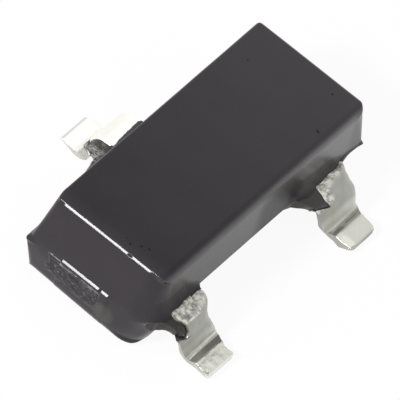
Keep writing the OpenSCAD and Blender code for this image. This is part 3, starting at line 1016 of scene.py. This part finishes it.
def lead_rows(start, jump_run, toe):
    """Runs of a lead's rows: few inside the body, then evenly spaced ones, with two close together where
    the cut tie bar starts, and three at the toe."""
    inside = np.linspace(start, INSIDE_STOP, INSIDE_ROWS)
    outside = np.arange(OUTSIDE_START, toe - ROW_ROOM, ROW_STEP)
    outside = outside[np.abs(outside - jump_run) > ROW_ROOM]
    close = [jump_run - CLOSE_ROW, jump_run + CLOSE_ROW]
    toe_end = [toe - back for back in TOE_ROWS]
    return np.sort(np.concatenate([inside, outside, close, toe_end]))


# Share of the lead's width over which the start of the cut tie bar leans
STUB_LEAN_SHARE = 0.45
# Sheared toe: share by which the outer skin draws in and over what run, and the same of the inner skin
TOE_DRAW = (0.10, 0.010)
SOLE_DRAW = (0.5, 0.035)
# Runs between which the marks of a lead come in at the wall, and heights between which they do over the sole
MARKED_OUTSIDE = (-0.01, 0.01)
MARKED_ABOVE = (0.004, 0.02)


def make_lead(name, path, side, middle_x, start, left_edge, right_edge, undercut, stub, dress, finish, inner):
    """Lead from its blade inside the body to its toe. The edges are pairs of (run, place across) on the
    outer skin, and undercut gives how much further in the left edge lies on the inner skin. stub is the
    run where the cut tie bar starts, how far ahead of it its outer corner lies, which fades with the
    square of the way across, and the run where the rows are square again. dress gives the push along the
    normal and the marks from points, runs, places across, depths and the run left to the toe. inner is
    the blade's extent along X and Y."""
    stub_run, stub_ahead, square_run = stub
    runs = lead_rows(start, stub_run, path.toe)
    left, right, under = (piecewise(pairs, runs) for pairs in (left_edge, right_edge, undercut))
    half = np.full_like(runs, LEAD_T / 2)
    across, depth = strip_section(left, right, half, -half, LEAD_EDGE_R)
    share = (across - left[:, None]) / (right - left)[:, None]
    across = across + (1 - share) * under[:, None] * (0.5 - depth / LEAD_T)
    pull = np.where(runs > stub_run, -stub_ahead * ramp(runs, square_run, stub_run), 0.0)
    run = runs[:, None] + pull[:, None] * np.clip(1 - share / STUB_LEAN_SHARE, 0, 1) ** 2
    to_toe = (path.toe - runs)[:, None]
    depth = depth * (1 - TOE_DRAW[0] * np.clip(1 - to_toe / TOE_DRAW[1], 0, 1) ** 2)
    depth = np.where(depth < 0, depth * (1 - SOLE_DRAW[0] * ramp(to_toe, SOLE_DRAW[1], 0) ** 2), depth)
    points, quads, normals, run = strip_surface(path, run, across, depth, middle_x, side, path.toe)
    depth = np.concatenate([depth.ravel() / (LEAD_T / 2), np.zeros(len(points) - depth.size)])
    push, marks = dress(points, run, points[:, 0] - middle_x, depth, path.toe - run)
    # The sole stays on the board and the strip inside the body stays plain
    outside = ramp(run, *MARKED_OUTSIDE)
    above = ramp(points[:, 2], *MARKED_ABOVE)
    points = points + normals * (push * outside * above)[:, None]
    marks = {key: values * outside for key, values in marks.items()}
    blade_points, blade_quads = blade(*inner)
    marks = {key: np.concatenate([values, np.zeros(len(blade_points))]) for key, values in marks.items()}
    points, quads = joined((points, quads), (blade_points, blade_quads))
    piece = make_piece(name + "_plated", points, quads, finish, marks)
    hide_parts(name)
    return piece


def outer_skin(depth):
    """1 on a lead's outer skin and 0 on its other faces, by the depth from -1 to 1."""
    return ramp(depth, 0.7, 0.97)


def sheared_face(across, depth):
    """1 on a lead's sheared left face, and 0 on its skins and its other face."""
    return (1 - outer_skin(depth)) * ramp(depth, -1.0, -0.9) * (across < 0)


def face_from(start, run, across, depth):
    """The same, from a run on."""
    return sheared_face(across, depth) * ramp(run, start, start + 0.04)


def worn_rim(run, across, right_edge, width, end):
    """1 along a lead's right edge, over a width and down to a run, and 0 elsewhere."""
    return ramp(across - piecewise(right_edge, run), -width, -0.010) * band(run, 0.03, end, 0.03)


# Marks of the near lead. Three numbers are a start, an end and a softness along the lead. Two numbers are
# the places between which a mark comes in, and one number is a place: RIGHT, LEFT and WIDTH lie across,
# TOE_CUT from the toe and the others along. The lean is how much further down a mark lies for a millimetre
# to the left
NEAR_CRUSHED_END = 0.158
NEAR_CRUSHED_RIGHT = (0.06, 0.04)
NEAR_WORN = (0.17, 0.10)
NEAR_FOOT = (0.56, 0.57)
NEAR_FOOT_LEFT = -0.19
NEAR_FOOT_RIGHT = 0.17
NEAR_PRESSED = (0.566, 0.594, 0.006)
NEAR_DENT = (0.597, 0.603, 0.003)
NEAR_CRACK = (0.596, 0.602, 0.003)
NEAR_FOOT_EDGE = (0.58, 0.70, 0.02)
NEAR_BAR = (0.423, 0.447, 0.005)
NEAR_GROOVE = (0.406, 0.414, 0.004)
# Painted shade at the lower bend
NEAR_BEND_SHADE = (0.487, 0.558, 0.005)
# Low part of the leg, painted lighter as painted light
NEAR_LOW_LEG_LIGHT = (0.33, 0.47, 0.03)
NEAR_EPOXY_WIDTH = (0.014, 0.004)
NEAR_EPOXY_END = (0.24, 0.20)
NEAR_TOE_CUT = (0.004, 0.001)
NEAR_LEAN = 0.13


def dress_near_lead(points, run, across, depth, to_toe):
    """Near lead: a raised, crushed shoulder that ends in a crisp step, a smooth leg whose low part is
    painted lighter as painted light, a bright bar and a groove over painted shade at the lower bend, the
    groove also painted dark as shade, a pressed foot with crumbled edges and a crack painted dark as shade,
    dark epoxy left on the neck, and a bright cut toe."""
    outer = outer_skin(depth)
    left = across - piecewise(NEAR_LEFT, run)
    crushed_end = NEAR_CRUSHED_END + 0.004 * noise(points, 0.07, 51)
    crushed = outer * ramp(run, crushed_end + 0.003, crushed_end - 0.003) * ramp(across, *NEAR_CRUSHED_RIGHT)
    worn = outer * ramp(run, *NEAR_WORN) * ramp(across, *NEAR_CRUSHED_RIGHT[::-1])
    lumps = fractal(points, 0.055, 3, 52)
    push = crushed * (0.007 + 0.008 * lumps) + worn * 0.005 * lumps + 0.0012 * noise(points, 0.09, 55)

    foot = outer * ramp(run, *NEAR_FOOT)
    pressed = band(run, *NEAR_PRESSED) - band(run, *NEAR_DENT) * (across < 0.06)
    push += foot * (0.004 * fractal(points, 0.05, 3, 53) + 0.006 * pressed)
    from_edge = np.minimum(across - NEAR_FOOT_LEFT, NEAR_FOOT_RIGHT - across)
    foot_edge = ramp(from_edge, 0.03, 0.0) * band(run, *NEAR_FOOT_EDGE)
    push -= outer * foot_edge * 0.012 * ramp(fractal(points, 0.03, 2, 54), -0.1, 0.4)
    crack = outer * band(run, *NEAR_CRACK) * ramp(across, 0.06, 0.03)

    lean = NEAR_LEAN * (NEAR_FOOT_RIGHT - across)
    bar = band(run - lean, *NEAR_BAR) * ramp(fractal(points, 0.06, 2, 56), -0.45, -0.1)
    groove = band(run - 0.3 * lean, *NEAR_GROOVE) * ramp(fractal(points, 0.07, 2, 57), -0.3, 0.1)
    bar, groove = outer * bar, outer * groove
    push += 0.004 * bar - 0.003 * groove

    # Painted shade: the dark band at the lower bend, with the groove and the crack made dark; the epoxy on
    # the neck is real residue
    lower_bend_shade = outer * band(run, *NEAR_BEND_SHADE) * (0.72 + 0.28 * ramp(across, -0.14, 0.05))
    epoxy = ramp(left, *NEAR_EPOXY_WIDTH) * ramp(run, *NEAR_EPOXY_END)
    toe_cut = ramp(to_toe, *NEAR_TOE_CUT)
    rim = outer * worn_rim(run, across, NEAR_RIGHT, width=0.055, end=0.44)
    # The leg's low part gets the lighter bare tone as painted light
    low_leg_light = outer * band(run, *NEAR_LOW_LEG_LIGHT)
    bare_and_painted_shading = 0.85 * foot + 0.6 * bar + 0.55 * face_from(0.26, run, across, depth) + 0.35 * low_leg_light
    return push, {"sheared": np.clip(crushed + 0.8 * worn + 0.4 * foot + 0.4 * bar + 0.3 * toe_cut, 0, 1),
                  "bare_and_painted_shading": np.clip(bare_and_painted_shading, 0, 1),
                  "cut": np.maximum(toe_cut, 0.2 * rim),
                  "residue_and_shade": np.maximum(lower_bend_shade, np.maximum(0.45 * groove + 0.35 * crack, 0.9 * epoxy))}


# Marks of the far lead, in the same way. BEVEL and BEVEL_DROP lie across too
FAR_LEAN = 0.13
FAR_FOOT_LEFT = -0.17
FAR_CRUSHED_END = (0.14, 0.09)
FAR_CRUSHED_LEFT = (-0.04, -0.11)
FAR_CRUSHED_EDGE_END = (0.21, 0.17)
FAR_FOOT = (0.535, 0.55)
FAR_PRESSED = (0.55, 0.575, 0.008)
FAR_BEVEL = (-0.08, -0.10)
FAR_BEVEL_DROP = (-0.08, -0.17)
FAR_BEVEL_DEPTH = 0.016
# Blotchy painted shade at the lower bend, with a darker line in it
FAR_BEND_SHADE = (0.452, 0.532, 0.005)
FAR_BEND_SHADE_LINE = (0.488, 0.500, 0.004)
FAR_STREAK = (0.432, 0.446, 0.005)
# Low part of the leg, painted lighter as painted light
FAR_LOW_LEG_LIGHT = (0.30, 0.44, 0.03)


def dress_far_lead(points, run, across, depth, to_toe):
    """Far lead: crushed metal along the body and down the left edge, a smooth bulging leg whose low part is
    painted lighter as painted light, blotchy painted shade at the lower bend, and a pressed foot with a
    bright bevel on its left."""
    outer = outer_skin(depth)
    crushed_run = run + FAR_LEAN * (across - FAR_FOOT_LEFT) + 0.02 * noise(points, 0.05, 60)
    left_edge = ramp(across, *FAR_CRUSHED_LEFT) * ramp(run, *FAR_CRUSHED_EDGE_END)
    crushed = outer * np.maximum(ramp(crushed_run, *FAR_CRUSHED_END), left_edge)
    push = crushed * (0.003 + 0.006 * fractal(points, 0.035, 3, 61)) + 0.0015 * noise(points, 0.1, 62)

    foot = outer * ramp(run, *FAR_FOOT)
    bevel = foot * ramp(across, *FAR_BEVEL)
    push -= bevel * FAR_BEVEL_DEPTH * ramp(across, *FAR_BEVEL_DROP)
    push += foot * (0.004 * band(run, *FAR_PRESSED) + 0.0015 * fractal(points, 0.05, 2, 63))

    blotch = ramp(fractal(points, (0.09, 0.05, 0.05), 2, 64), -0.5, 0.2)
    # Blotchy painted shade at the lower bend
    lower_bend_shade = band(run, *FAR_BEND_SHADE) * blotch * (0.50 + 0.8 * ramp(-across, 0.0, 0.10))
    lower_bend_shade += 0.75 * band(run, *FAR_BEND_SHADE_LINE) * band(across, 0.0, 0.16, 0.02)
    streak = outer * band(run, *FAR_STREAK) * band(across, -0.16, 0.02, 0.03)
    rim = outer * worn_rim(run, across, FAR_RIGHT, width=0.060, end=0.42)
    # The leg's low part gets the lighter bare tone as painted light
    low_leg_light = outer * band(run, *FAR_LOW_LEG_LIGHT)
    bare_and_painted_shading = 0.75 * foot + 0.15 * bevel + 0.35 * face_from(0.24, run, across, depth) + 0.5 * low_leg_light
    return push, {"sheared": np.clip(crushed, 0, 1),
                  "bare_and_painted_shading": np.clip(bare_and_painted_shading + 0.4 * streak, 0, 1),
                  "cut": 0.2 * rim,
                  "residue_and_shade": np.clip(outer * lower_bend_shade, 0, 0.9)}


# Marks of the single lead, in the same way. STUB_TIP lies across too, and TOE_LINE from the toe
SINGLE_STUB_END = (0.24, 0.284, 0.004)
SINGLE_STUB_TIP = (-0.20, -0.225)
SINGLE_FACE_END = (0.54, 0.46)
SINGLE_TOE_LINE = (0.026, 0.018)
SINGLE_LIT_RIGHT = (0.02, 0.18)
SINGLE_BEND = (0.43, 0.50, 0.02)
SINGLE_BEND_FADE = (0.50, 0.60, 0.03)


def dress_single_lead(points, run, across, depth, to_toe):
    """Single lead: bright, in the lighter copy of the plating that is painted light, with painted shade on
    its lower bend, a grey sheared left face and cut tie bar, darkened further with painted shade, most at the
    tie bar's end, and a faint line of painted shade along its toe."""
    outer = outer_skin(depth)
    push = 0.0010 * noise(points, 0.1, 71) + outer * 0.0008 * fractal(points, 0.05, 2, 72)
    side_face = sheared_face(across, depth)
    stub_end = band(run, *SINGLE_STUB_END) * ramp(across, *SINGLE_STUB_TIP)
    stub_face = np.maximum(side_face * ramp(run, *SINGLE_FACE_END), stub_end)
    push += stub_face * 0.003 * fractal(points, 0.03, 3, 73)
    toe_line = outer * ramp(to_toe, *SINGLE_TOE_LINE)
    bend_shade = outer * (band(run, *SINGLE_BEND) + 0.2 * band(run, *SINGLE_BEND_FADE))
    bend_shade *= 1 - 0.7 * ramp(across, *SINGLE_LIT_RIGHT)
    # All of the single lead's dark tone is painted shade, and its bare tone greys the tie bar's end and the
    # toe line as painted shade too
    residue_and_shade = 0.16 * stub_face + 0.4 * stub_end + 0.5 * bend_shade + 0.25 * toe_line
    return push, {"sheared": np.clip(0.7 * stub_face, 0, 1),
                  "bare_and_painted_shading": np.clip(side_face + stub_end + 0.35 * toe_line, 0, 1),
                  "cut": 0 * run,
                  "residue_and_shade": np.clip(residue_and_shade, 0, 1)}


# Edges of the leads on the outer skin, and how much further in the left edge lies on the inner skin
NEAR_LEFT = [(-1, -0.19), (0.0, -0.205), (0.05, -0.224), (0.095, -0.226), (0.122, -0.196), (0.16, -0.172),
             (0.206, -0.166), (0.243, -0.173), (0.2615, -0.196), (0.2635, -0.330), (0.30, -0.288),
             (0.36, -0.262), (0.42, -0.246), (0.54, -0.190), (0.582, -0.190), (0.72, -0.232)]
NEAR_UNDERCUT = [(-1, 0.0), (0.262, 0.0), (0.263, 0.10), (0.30, 0.085), (0.40, 0.058), (0.52, 0.034),
                 (0.60, 0.040), (0.72, 0.07)]
NEAR_RIGHT = [(-1, 0.19), (0.0, 0.186), (0.09, 0.178), (0.117, 0.167), (0.143, 0.143), (0.182, 0.106),
              (0.225, 0.108), (0.267, 0.130), (0.37, 0.171), (0.46, 0.184), (0.503, 0.188), (0.563, 0.171),
              (0.617, 0.145), (0.66, 0.140), (0.69, 0.150), (0.72, 0.143)]
FAR_LEFT = [(-1, -0.16), (0.043, -0.166), (0.094, -0.172), (0.146, -0.176), (0.18, -0.155), (0.2185, -0.135),
            (0.2205, -0.312), (0.26, -0.290), (0.34, -0.270), (0.40, -0.258), (0.48, -0.187), (0.535, -0.160),
            (0.72, -0.180)]
FAR_UNDERCUT = [(-1, 0.0), (0.22, 0.0), (0.26, 0.07), (0.34, 0.065), (0.41, 0.054), (0.50, 0.025),
                (0.60, 0.010), (0.66, 0.045), (0.72, 0.09)]
FAR_RIGHT = [(-1, 0.19), (0.0, 0.20), (0.03, 0.225), (0.06, 0.207), (0.092, 0.179), (0.149, 0.168),
             (0.216, 0.194), (0.309, 0.200), (0.363, 0.186), (0.442, 0.208), (0.542, 0.195), (0.656, 0.184),
             (0.69, 0.172), (0.72, 0.150)]
SINGLE_LEFT = [(-1, -0.19), (0.0, -0.20), (0.14, -0.20), (0.22, -0.196), (0.250, -0.205), (0.2785, -0.225),
               (0.2805, -0.285), (0.36, -0.262), (0.45, -0.215), (0.56, -0.197), (0.72, -0.186)]
SINGLE_UNDERCUT = [(-1, 0.0), (0.2785, 0.0), (0.2805, -0.04), (0.36, -0.03), (0.43, 0.0), (0.52, 0.02),
                   (0.72, 0.06)]
SINGLE_RIGHT = [(-1, 0.19), (0.0, 0.19), (0.30, 0.20), (0.50, 0.165), (0.72, 0.154)]

# Inside the body: the runs where the strips start, how far the posts of leads 1 and 2 reach towards the
# body's ends and towards its middle, their extent along Y, and the paddle's extent along X and Y
PAIR_START = -0.45
SINGLE_START = -0.67
POST_OUT = 0.24
POST_IN = 0.36
POST_Y = (-0.44, -0.18)
PADDLE = (-0.62, 0.62, -0.04, 0.38)

make_lead("lead_1", *NEAR, start=PAIR_START, left_edge=NEAR_LEFT, right_edge=NEAR_RIGHT,
          undercut=NEAR_UNDERCUT, stub=(0.2625, 0.066, 0.36), dress=dress_near_lead, finish=WORN_TIN,
          inner=(-LEAD_X - POST_OUT, -LEAD_X + POST_IN, *POST_Y))
make_lead("lead_2", *FAR, start=PAIR_START, left_edge=FAR_LEFT, right_edge=FAR_RIGHT,
          undercut=FAR_UNDERCUT, stub=(0.2195, 0.058, 0.32), dress=dress_far_lead, finish=WORN_TIN,
          inner=(LEAD_X - POST_IN, LEAD_X + POST_OUT, *POST_Y))
make_lead("lead_3", *SINGLE, start=SINGLE_START, left_edge=SINGLE_LEFT, right_edge=SINGLE_RIGHT,
          undercut=SINGLE_UNDERCUT, stub=(0.2795, 0.03, 0.36), dress=dress_single_lead, finish=PAINTED_LIGHT_TIN,
          inner=PADDLE)


# Flash beside and over the leads

FLASH_START = -0.05
FLASH_ROWS = 46
FLASH_EDGE_R = 0.006
# Relief of the flash, and what it gains where the flash is torn
FLASH_RELIEF = 0.0010
TORN_RELIEF = 0.004
# Softness of the pale stretch's edge, and a place that has nothing on its left
PALE_SOFT = 0.012
NOWHERE = -9.0


def make_flash(name, path, side, middle_x, reach, left_edge, right_edge, top, bottom, lean, ragged, torn,
               seed, pale_from=NOWHERE):
    """Flash of moulding on a lead's path, from inside the body out to its reach: a strip between pairs of
    (run, place across) and of (run, depth). Its rows lean so that the right edge runs further out by lean,
    its end is ragged, torn has pairs of (run, brokenness), and left of pale_from it is pale and crumbled."""
    rows = np.linspace(FLASH_START, reach, FLASH_ROWS)
    left, right, high, low = (piecewise(pairs, rows) for pairs in (left_edge, right_edge, top, bottom))
    across, depth = strip_section(left, right, high, low, FLASH_EDGE_R)
    share = (across - left[:, None]) / (right - left)[:, None]
    row_share = ((rows - FLASH_START) / (reach - FLASH_START))[:, None]
    flat = np.stack([across, 0 * across, depth], axis=-1).reshape(-1, 3)
    tear = fractal(flat, (0.05, 1.0, 0.06), 3, seed + 2).reshape(across.shape)
    run = rows[:, None] + lean * row_share * share + ragged * row_share ** 3 * tear
    points, quads, normals, run = strip_surface(path, run, across, depth, middle_x, side, reach)
    broken = piecewise(torn, run)
    push = (FLASH_RELIEF + TORN_RELIEF * broken) * fractal(points, (0.06, 0.05, 0.04), 3, seed)
    crumbled = 1.5 * ramp(points[:, 0] - middle_x, pale_from + PALE_SOFT, pale_from - PALE_SOFT)
    broken = np.clip(broken * (1 + fractal(points, 0.06, 2, seed + 1)) + crumbled, 0, 2)
    return make_piece(name, points + normals * push[:, None], quads, FLASH,
                      {"broken": broken, "dull": 0 * broken})


# Webs between a lead's narrow neck and its cut tie bar
make_flash("web_1", *NEAR, reach=0.200,
           left_edge=[(-1, -0.36), (-0.03, -0.405), (0.005, -0.400), (0.027, -0.358), (0.062, -0.322),
                      (0.102, -0.299), (0.154, -0.276), (0.219, -0.253)],
           right_edge=[(-1, -0.18), (0.1, -0.19), (0.2, -0.16)],
           top=[(-1, 0.051), (0.04, 0.050), (0.2, 0.030)],
           bottom=[(-1, -0.090), (0.05, -0.06), (0.2, -0.045)],
           lean=0.06, ragged=0.004, torn=[(0.10, 0.0), (0.15, 0.5), (0.19, 1.2)], seed=81)
make_flash("web_2", *FAR, reach=0.160,
           left_edge=[(-1, -0.60), (-0.03, -0.53), (-0.012, -0.473), (0.006, -0.420), (0.07, -0.366),
                      (0.16, -0.300)],
           right_edge=[(-1, -0.15), (0.1, -0.15), (0.2, -0.12)],
           top=[(-1, 0.051), (0.04, 0.048), (0.2, 0.028)], bottom=[(-1, -0.05), (0.2, -0.045)],
           lean=0.055, ragged=0.004, torn=[(0.10, 0.0), (0.16, 0.5)], seed=84)
make_flash("web_3", *SINGLE, reach=0.275,
           left_edge=[(-1, -1.05), (0.0, -0.86), (0.05, -0.72), (0.070, -0.66), (0.078, -0.58),
                      (0.090, -0.52), (0.098, -0.485), (0.113, -0.44), (0.118, -0.37), (0.126, -0.33),
                      (0.135, -0.322), (0.29, -0.300)],
           right_edge=[(-1, -0.17), (0.3, -0.18)],
           top=[(-1, 0.052), (0.10, 0.050), (0.125, 0.040), (0.3, 0.034)],
           bottom=[(-1, -0.048), (0.11, -0.05), (0.135, -0.15), (0.19, -0.10), (0.3, -0.045)],
           lean=0.01, ragged=0.003, torn=[(0.104, 0.0), (0.120, 0.8), (0.3, 1.0)], seed=87, pale_from=-0.286)
# Thin skins that the joint of the mould left round each lead's shoulder
make_flash("skin_1", *NEAR, reach=0.048, left_edge=[(-1, -0.26), (0.05, -0.235)],
           right_edge=[(-1, 0.200), (0.0, 0.197), (0.05, 0.188)],
           top=[(-1, 0.058), (0.02, 0.057), (0.046, 0.051)], bottom=[(-1, -0.06), (0.1, -0.055)],
           lean=0.0, ragged=0.010, torn=[(0.02, 0.0), (0.05, 0.05)], seed=90)
make_flash("skin_2", *FAR, reach=0.044,
           left_edge=[(-1, -0.25), (0.0, -0.20), (0.05, -0.17)],
           right_edge=[(-1, 0.245), (0.03, 0.235), (0.05, 0.215)],
           top=[(-1, 0.058), (0.02, 0.057), (0.042, 0.051)], bottom=[(-1, -0.06), (0.1, -0.055)],
           lean=-0.014, ragged=0.008, torn=[(0.02, 0.0), (0.05, 0.05)], seed=93)
make_flash("skin_3", *SINGLE, reach=0.088, left_edge=[(-1, -0.24), (0.11, -0.222)],
           right_edge=[(-1, 0.22), (0.07, 0.20), (0.088, 0.175)],
           top=[(-1, 0.075), (0.07, 0.070), (0.088, 0.060)], bottom=[(-1, -0.06), (0.2, -0.055)],
           lean=0.020, ragged=0.006, torn=[(0.08, 0.0), (0.11, 0.1)], seed=96)


# Table, card, world and lamps

WHITE = (1, 1, 1, 1)
STAGE_HALF = 260.0
FLOOR_DROP = 0.001
FLOOR_TONE = 0.95
FLOOR_GLOW = 0.93
FLOOR_SHEEN = 0.58
SKY_LEVEL = 0.5
CARD_TONE = 0.90
CARD_DISTANCE = 40.0
CARD_TOP = 42.0
CARD_SHADE_TOP = 22.0
CARD_HALF_TURN = 50.0
CARD_MIDDLE = -51.0
CARD_STEPS = 24
LAMP_DISTANCE = 60.0


def stage_mesh(name, points, quads, shader):
    """Piece of the studio with a material that shader fills."""
    mesh = bpy.data.meshes.new(name)
    mesh.from_pydata([tuple(point) for point in points * MM], [], [tuple(quad) for quad in quads.tolist()])
    material = bpy.data.materials.new(name)
    material.use_nodes = True
    nodes = Nodes(material.node_tree)
    nodes.add("ShaderNodeOutputMaterial", inputs={"Surface": shader(nodes)})
    mesh.materials.append(material)
    piece = bpy.data.objects.new(name, mesh)
    bpy.context.scene.collection.objects.link(piece)
    return piece


def make_table():
    """Pale table: white to the camera, with the share of its own shading that keeps the object's shadow."""
    def shader(nodes):
        plain = nodes.add("ShaderNodeBsdfDiffuse", inputs={"Color": (FLOOR_TONE, FLOOR_TONE, FLOOR_TONE, 1)})
        glow = nodes.add("ShaderNodeEmission", inputs={"Color": WHITE, "Strength": 1.0})
        seen = nodes.ray("Is Camera Ray").larger(nodes.ray("Is Transmission Ray"))
        share = (seen * FLOOR_GLOW).larger(nodes.ray("Is Glossy Ray") * FLOOR_SHEEN)
        return nodes.add("ShaderNodeMixShader", inputs={0: share, 1: plain, 2: glow})

    corners = np.array([(-1, -1), (1, -1), (1, 1), (-1, 1)]) * STAGE_HALF
    points = np.column_stack([corners, np.full(4, -FLOOR_DROP)])
    stage_mesh("table", points, np.array([[0, 1, 2, 3]]), shader)


def make_card():
    """Card on the far right, part of an upright round wall about the object, white at its foot and grey
    at its top. Only reflections show it, and it darkens the rounded edges that face it."""
    def shader(nodes):
        height = nodes.axis(nodes.coordinates(), 2)
        grey = (CARD_TONE, CARD_TONE, CARD_TONE, 1)
        tone = nodes.mix(height.step_mm(0.0, CARD_SHADE_TOP), WHITE, grey)
        return nodes.add("ShaderNodeEmission", inputs={"Color": tone, "Strength": 1.0})

    turn = np.radians(CARD_MIDDLE + np.linspace(-CARD_HALF_TURN, CARD_HALF_TURN, CARD_STEPS + 1))
    top = CARD_DISTANCE * math.tan(math.radians(CARD_TOP))
    foot = np.column_stack([CARD_DISTANCE * np.cos(turn), CARD_DISTANCE * np.sin(turn), 0 * turn])
    points = np.concatenate([foot, foot + np.array([0, 0, top])])
    low = np.arange(CARD_STEPS)
    high = low + CARD_STEPS + 1
    quads = np.column_stack([low + 1, low, high, high + 1])
    card = stage_mesh("card", points, quads, shader)
    card.visible_camera = False
    card.visible_diffuse = False
    card.visible_shadow = False
    card.visible_transmission = False


def make_world():
    """Even white surroundings: full white to the camera and in reflections, softer as light."""
    world = bpy.data.worlds.new("studio")
    bpy.context.scene.world = world
    world.use_nodes = True
    nodes = Nodes(world.node_tree)
    seen = largest([nodes.ray(kind) for kind in ("Is Camera Ray", "Is Glossy Ray", "Is Transmission Ray")])
    strength = SKY_LEVEL + seen * (1 - SKY_LEVEL)
    glow = nodes.add("ShaderNodeBackground", inputs={"Color": WHITE, "Strength": strength})
    nodes.add("ShaderNodeOutputWorld", inputs={"Surface": glow})


def make_lamp(name, direction, width, brightness):
    """Round soft lamp in a direction from the object, facing it. Its power is its brightness times pi
    times its area."""
    data = bpy.data.lights.new(name, "AREA")
    data.shape = "DISK"
    data.size = width * MM
    data.energy = brightness * math.pi * math.pi * (width * MM / 2) ** 2
    lamp = bpy.data.objects.new(name, data)
    bpy.context.scene.collection.objects.link(lamp)
    toward = Vector(direction).normalized()
    centre = Vector((0, 0, ANCHOR_HEIGHT))
    lamp.location = (centre + toward * LAMP_DISTANCE) * MM
    lamp.rotation_mode = "QUATERNION"
    lamp.rotation_quaternion = toward.to_track_quat("Z", "Y")


make_table()
make_card()
make_world()
make_lamp("key lamp", direction=(-0.74, 0.227, 0.616), width=11.5, brightness=92.0)
make_lamp("top lamp", direction=(0.25, 0.35, 0.9), width=40.0, brightness=0.45)

bpy.context.scene.view_settings.view_transform = "Standard"
